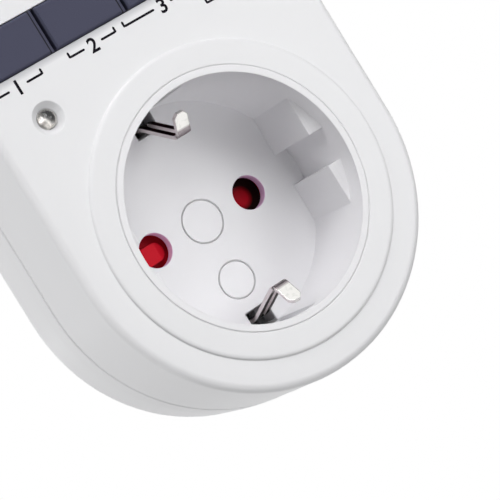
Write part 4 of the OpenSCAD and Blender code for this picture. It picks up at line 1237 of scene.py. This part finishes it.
# %% Wires
WIRE_X, SWITCHED_X, WIRE_OUT_R, COPPER_R = 7, -11, 0.95, 0.45
PIN_ROUTE = [(-8.6, 5), (-11, 6.4), (-14, 9), (-18, 11), (-20.5, 11.8), (-21.3, 13.4),
             (-21.3, 19), (-21.3, 26)]
SWITCHED_ROUTE = [(-12.4, 4.9), (-14.5, 6), (-17, 7.4), (-19.5, 8.6), (-21.2, 10.4),
                  (-21.3, 13), (-21.3, 26)]
WIRES = [("live", -WIRE_X, PIN_ROUTE, "wire_brown"),
         ("switched", SWITCHED_X, SWITCHED_ROUTE, "wire_black"),
         ("neutral", WIRE_X, PIN_ROUTE, "wire_blue")]
START_BEND = [(1.2, -1.0), (0.4, -0.3), (0, 0)]
END_BEND = [(0, 0), (0, 1.2), (-0.9, 1.5)]


def add_wires():
    ends = []
    for name, x, route, slot in WIRES:
        points = [(x, y, z) for y, z in route]
        rods(name + "_insulation", slot, [points], WIRE_OUT_R, node=name + "_wire", round_steps=5)
        for (y, z), bend in ((route[0], START_BEND), (route[-1], END_BEND)):
            ends.append([(x, y + dy, z + dz) for dy, dz in bend])
    rods("wire_ends", "winding", ends, COPPER_R)
    print(len(WIRES), "wires with", len(ends), "bare ends")


add_wires()

# %% [markdown]
# ## Ribbon cable
# The two boards are joined by a flat cable of eight thin wires side by side. One flat strip
# would miss the ribbed look, so it is eight rods that just touch.

# %% Ribbon cable
RIBBON_LINE = [(-36.35, 27), (-34.5, 27), (-32.5, 27.6), (-30.5, 29.2), (-28.5, 30.8),
               (-26.5, 31.4), (-24.05, 31.4)]
RIBBON_X, RIBBON_PITCH, RIBBON_R, STRANDS = -1, 1.2, 0.61, 8
strand_xs = [RIBBON_X + (i - (STRANDS - 1) / 2) * RIBBON_PITCH for i in range(STRANDS)]
ribbon = rods("ribbon_strands", "ribbon_grey",
              [[(x, y, z) for y, z in RIBBON_LINE] for x in strand_xs], RIBBON_R,
              node="ribbon_cable")
print("ribbon:", len(ribbon.data.polygons), "faces")

# %% [markdown]
# ## Round parts on the boards
# Small electrical parts are mostly round, so a lathe makes them, with the rolled rims, necks
# and soft shoulders that a plain cylinder lacks. A rounded shoulder is a few points on a
# quarter circle. The smoothing capacitor has a neck near its foot and a bare metal top, the
# backup cell is a stepped coin, and the controller is a drop of black resin.

# %% Round profiles
NECK_START, NECK_MIDDLE, NECK_END = 1.6, 1.3, 1.0


def shoulder(y, r, soft, into, steps=4):
    return [(y + into * soft * (1 - math.sin(math.pi / 2 * i / steps)),
             r - soft * (1 - math.cos(math.pi / 2 * i / steps))) for i in range(steps, -1, -1)]


def can(front, back, r, soft=0.4, rim=0.0):
    neck = [(back - NECK_START, r), (back - NECK_MIDDLE, r - rim), (back - NECK_END, r)]
    return ([(front, 0)] + shoulder(front, r, soft, 1) + (neck if rim else [])
            + shoulder(back, r, soft * 0.5, -1)[::-1] + [(back, 0)])


# %% Can, fuse, cell and controller
POWER_FRONT_Y, DISPLAY_BACK_Y = -24.05, -36.35
CAN_AXIS, CAN_FRONT_Y, CAN_R = (-19, 0, 62), -35, 4
CAN_TOP = [(-35.02, 0), (-35.02, 2.7), (-34.9, 3.1), (-34.9, 0)]
FUSE_AXIS, FUSE_FRONT_Y, FUSE_R = (11.5, 0, 32.5), -31.6, 4.1
CELL_AXIS = (0, 0, 70.5)
CELL = [(DISPLAY_BACK_Y, 0), (DISPLAY_BACK_Y, 7.0), (DISPLAY_BACK_Y + 0.2, 7.2), (-31.4, 7.2),
        (-31.1, 6.9), (-31.1, 5.5), (-31.2, 5.3), (-31.1, 5.0), (-30.6, 5.0), (-30.5, 4.8),
        (-30.5, 0)]
BLOB_AXIS, BLOB_R, BLOB_H, BLOB_STEP = (-2, 0, 57), 5.5, 1.15, math.radians(10)
blob = [(DISPLAY_BACK_Y + BLOB_H * math.sin(BLOB_STEP * i),
         BLOB_R * math.cos(BLOB_STEP * i) ** 0.5) for i in range(1, 9)]
turned_piece("smoothing_can", "capacitor_sleeve",
             can(CAN_FRONT_Y, POWER_FRONT_Y, CAN_R, 0.5, 0.35), CAN_AXIS,
             node="smoothing_capacitor")
turned_piece("smoothing_can_top", "nickel", CAN_TOP, CAN_AXIS)
turned_piece("thermal_fuse_body", "fuse_brown", can(FUSE_FRONT_Y, POWER_FRONT_Y, FUSE_R, 0.7),
             FUSE_AXIS, node="thermal_fuse")
turned_piece("backup_cell_can", "nickel", CELL, CELL_AXIS, node="backup_cell")
turned_piece("controller_blob", "black_plastic",
             [(DISPLAY_BACK_Y, 0), (DISPLAY_BACK_Y, BLOB_R)] + blob
             + [(DISPLAY_BACK_Y + BLOB_H, 0)], BLOB_AXIS, node="controller_chip")
print("five round parts on the boards")

# %% [markdown]
# ## Crystal, absorber, diodes and resistors
# The crystal is a long can with a crimped foot, and the absorber is a coated disc with a round
# rim. Four diodes stand in one row and four resistors lie in another. Each row is one node of
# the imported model, so its bodies are turned into one mesh.

# %% Crystal and absorber
CRYSTAL_Y, CRYSTAL_Z = -35.25, 58
CRYSTAL = [(12, 0), (12, 0.75), (12.2, 1.05), (17.0, 1.05), (17.1, 0.9), (17.6, 0.9),
           (17.7, 1.05), (18.1, 1.05), (18.2, 0.95), (18.2, 0)]
DISC_MID_X, DISC_HALF_T, DISC_FLAT_R, DISC_RIM = 21, 1.8, 3.3, 1.2
disc_rim = [(DISC_MID_X - DISC_HALF_T * math.cos(a), DISC_FLAT_R + DISC_RIM * math.sin(a))
            for a in (math.radians(15 * i) for i in range(13))]
turned_piece("timing_crystal_can", "nickel", CRYSTAL, (0, CRYSTAL_Y, CRYSTAL_Z), "X",
             node="timing_crystal")
turned_piece("absorber_disc", "absorber_blue",
             [(DISC_MID_X - DISC_HALF_T, 0)] + disc_rim + [(DISC_MID_X + DISC_HALF_T, 0)],
             (0, -29.6, 32.5), "X", node="surge_absorber")
print("a crystal and an absorber disc")

# %% Diodes and resistors
DIODE_Y, RESISTOR_Y = -25.3, -25.5
DIODE = [(58, 0), (58, 0.95), (58.15, 1.1), (62.45, 1.1), (62.6, 0.95), (62.6, 0)]
RESISTOR = [(11.5, 0), (11.5, 0.9), (11.8, 1.25), (12.6, 1.25), (13.0, 1.0), (17.0, 1.0),
            (17.4, 1.25), (18.2, 1.25), (18.5, 0.9), (18.5, 0)]


def many_turned(name, slot, profile, centres, axis, node):
    bm = bmesh.new()
    for centre in centres:
        turned(profile, centre, axis, SMALL_SIDES, bm)
    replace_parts(as_piece(name, from_bmesh(name, bm), slot), node)


many_turned("diode_bodies", "black_plastic", DIODE, [(x, DIODE_Y, 0) for x in DIODE_XS], "Z",
            "rectifier_diodes")
many_turned("resistor_bodies", "resistor_tan", RESISTOR,
            [(0, RESISTOR_Y, z) for z in RESISTOR_ZS], "X", "resistors")
print(len(DIODE_XS), "diodes and", len(RESISTOR_ZS), "resistors")

# %% [markdown]
# ## Leads
# A part's wires leave its body straight and then bend down to the board. Each could be an
# object of its own, but they are the same metal and never move, so they are thin rods of three
# points each, all in one piece.

# %% Leads
LEAD_R, LEAD_END_Y = 0.3, -24.2
DIODE_MID_Z, RESISTOR_MID_X = 60, 15
leads = [[(x, DIODE_Y, DIODE_MID_Z + s * 2.3), (x, DIODE_Y, DIODE_MID_Z + s * 3.2),
          (x, LEAD_END_Y, DIODE_MID_Z + s * 3.4)] for x in DIODE_XS for s in (-1, 1)]
leads += [[(RESISTOR_MID_X + s * 3.5, RESISTOR_Y, z), (RESISTOR_MID_X + s * 4.6, RESISTOR_Y, z),
           (RESISTOR_MID_X + s * 4.8, LEAD_END_Y, z)] for z in RESISTOR_ZS for s in (-1, 1)]
leads += [[(DISC_MID_X, -27, z), (DISC_MID_X, -25.5, z), (DISC_MID_X, POWER_FRONT_Y, z)]
          for z in (30.5, 35.1)]
leads += [[(18.2, CRYSTAL_Y, z), (19.2, CRYSTAL_Y, z), (19.6, -36.3, z)]
          for z in (CRYSTAL_Z - 0.5, CRYSTAL_Z + 0.5)]
rods("part_leads", "nickel", leads, LEAD_R, round_steps=2)
print(len(leads), "leads")

# %% [markdown]
# ## Softened corners
# Moulded and stamped parts have no knife edges. These solids keep their shape, and a Weld and a
# Bevel modifier round their corners a little. They could be modelled again with round corners,
# but their solids are right in all else. Weld comes first, because the triangles of a loaded
# solid are loose.

# %% Soften plain solids
SOFTENED = {"dropper_capacitor": 0.6, "relay_cover": 0.25, "relay_base": 0.15, "lcd_frame": 0.15,
            "pin_clamp": 0.15, "reset_switch": 0.15, "relay_yoke": 0.12, "relay_armature": 0.1,
            "relay_terminals": 0.08, "earth_bridge": 0.1}
SOLID_WELD = 0.001
for node, width in SOFTENED.items():
    joined = nodes[node].modifiers.new("joined", "WELD")
    joined.merge_threshold = SOLID_WELD * MM
    soften(nodes[node], "soft_corners", width, 2)
print(len(SOFTENED), "solids with softened corners")
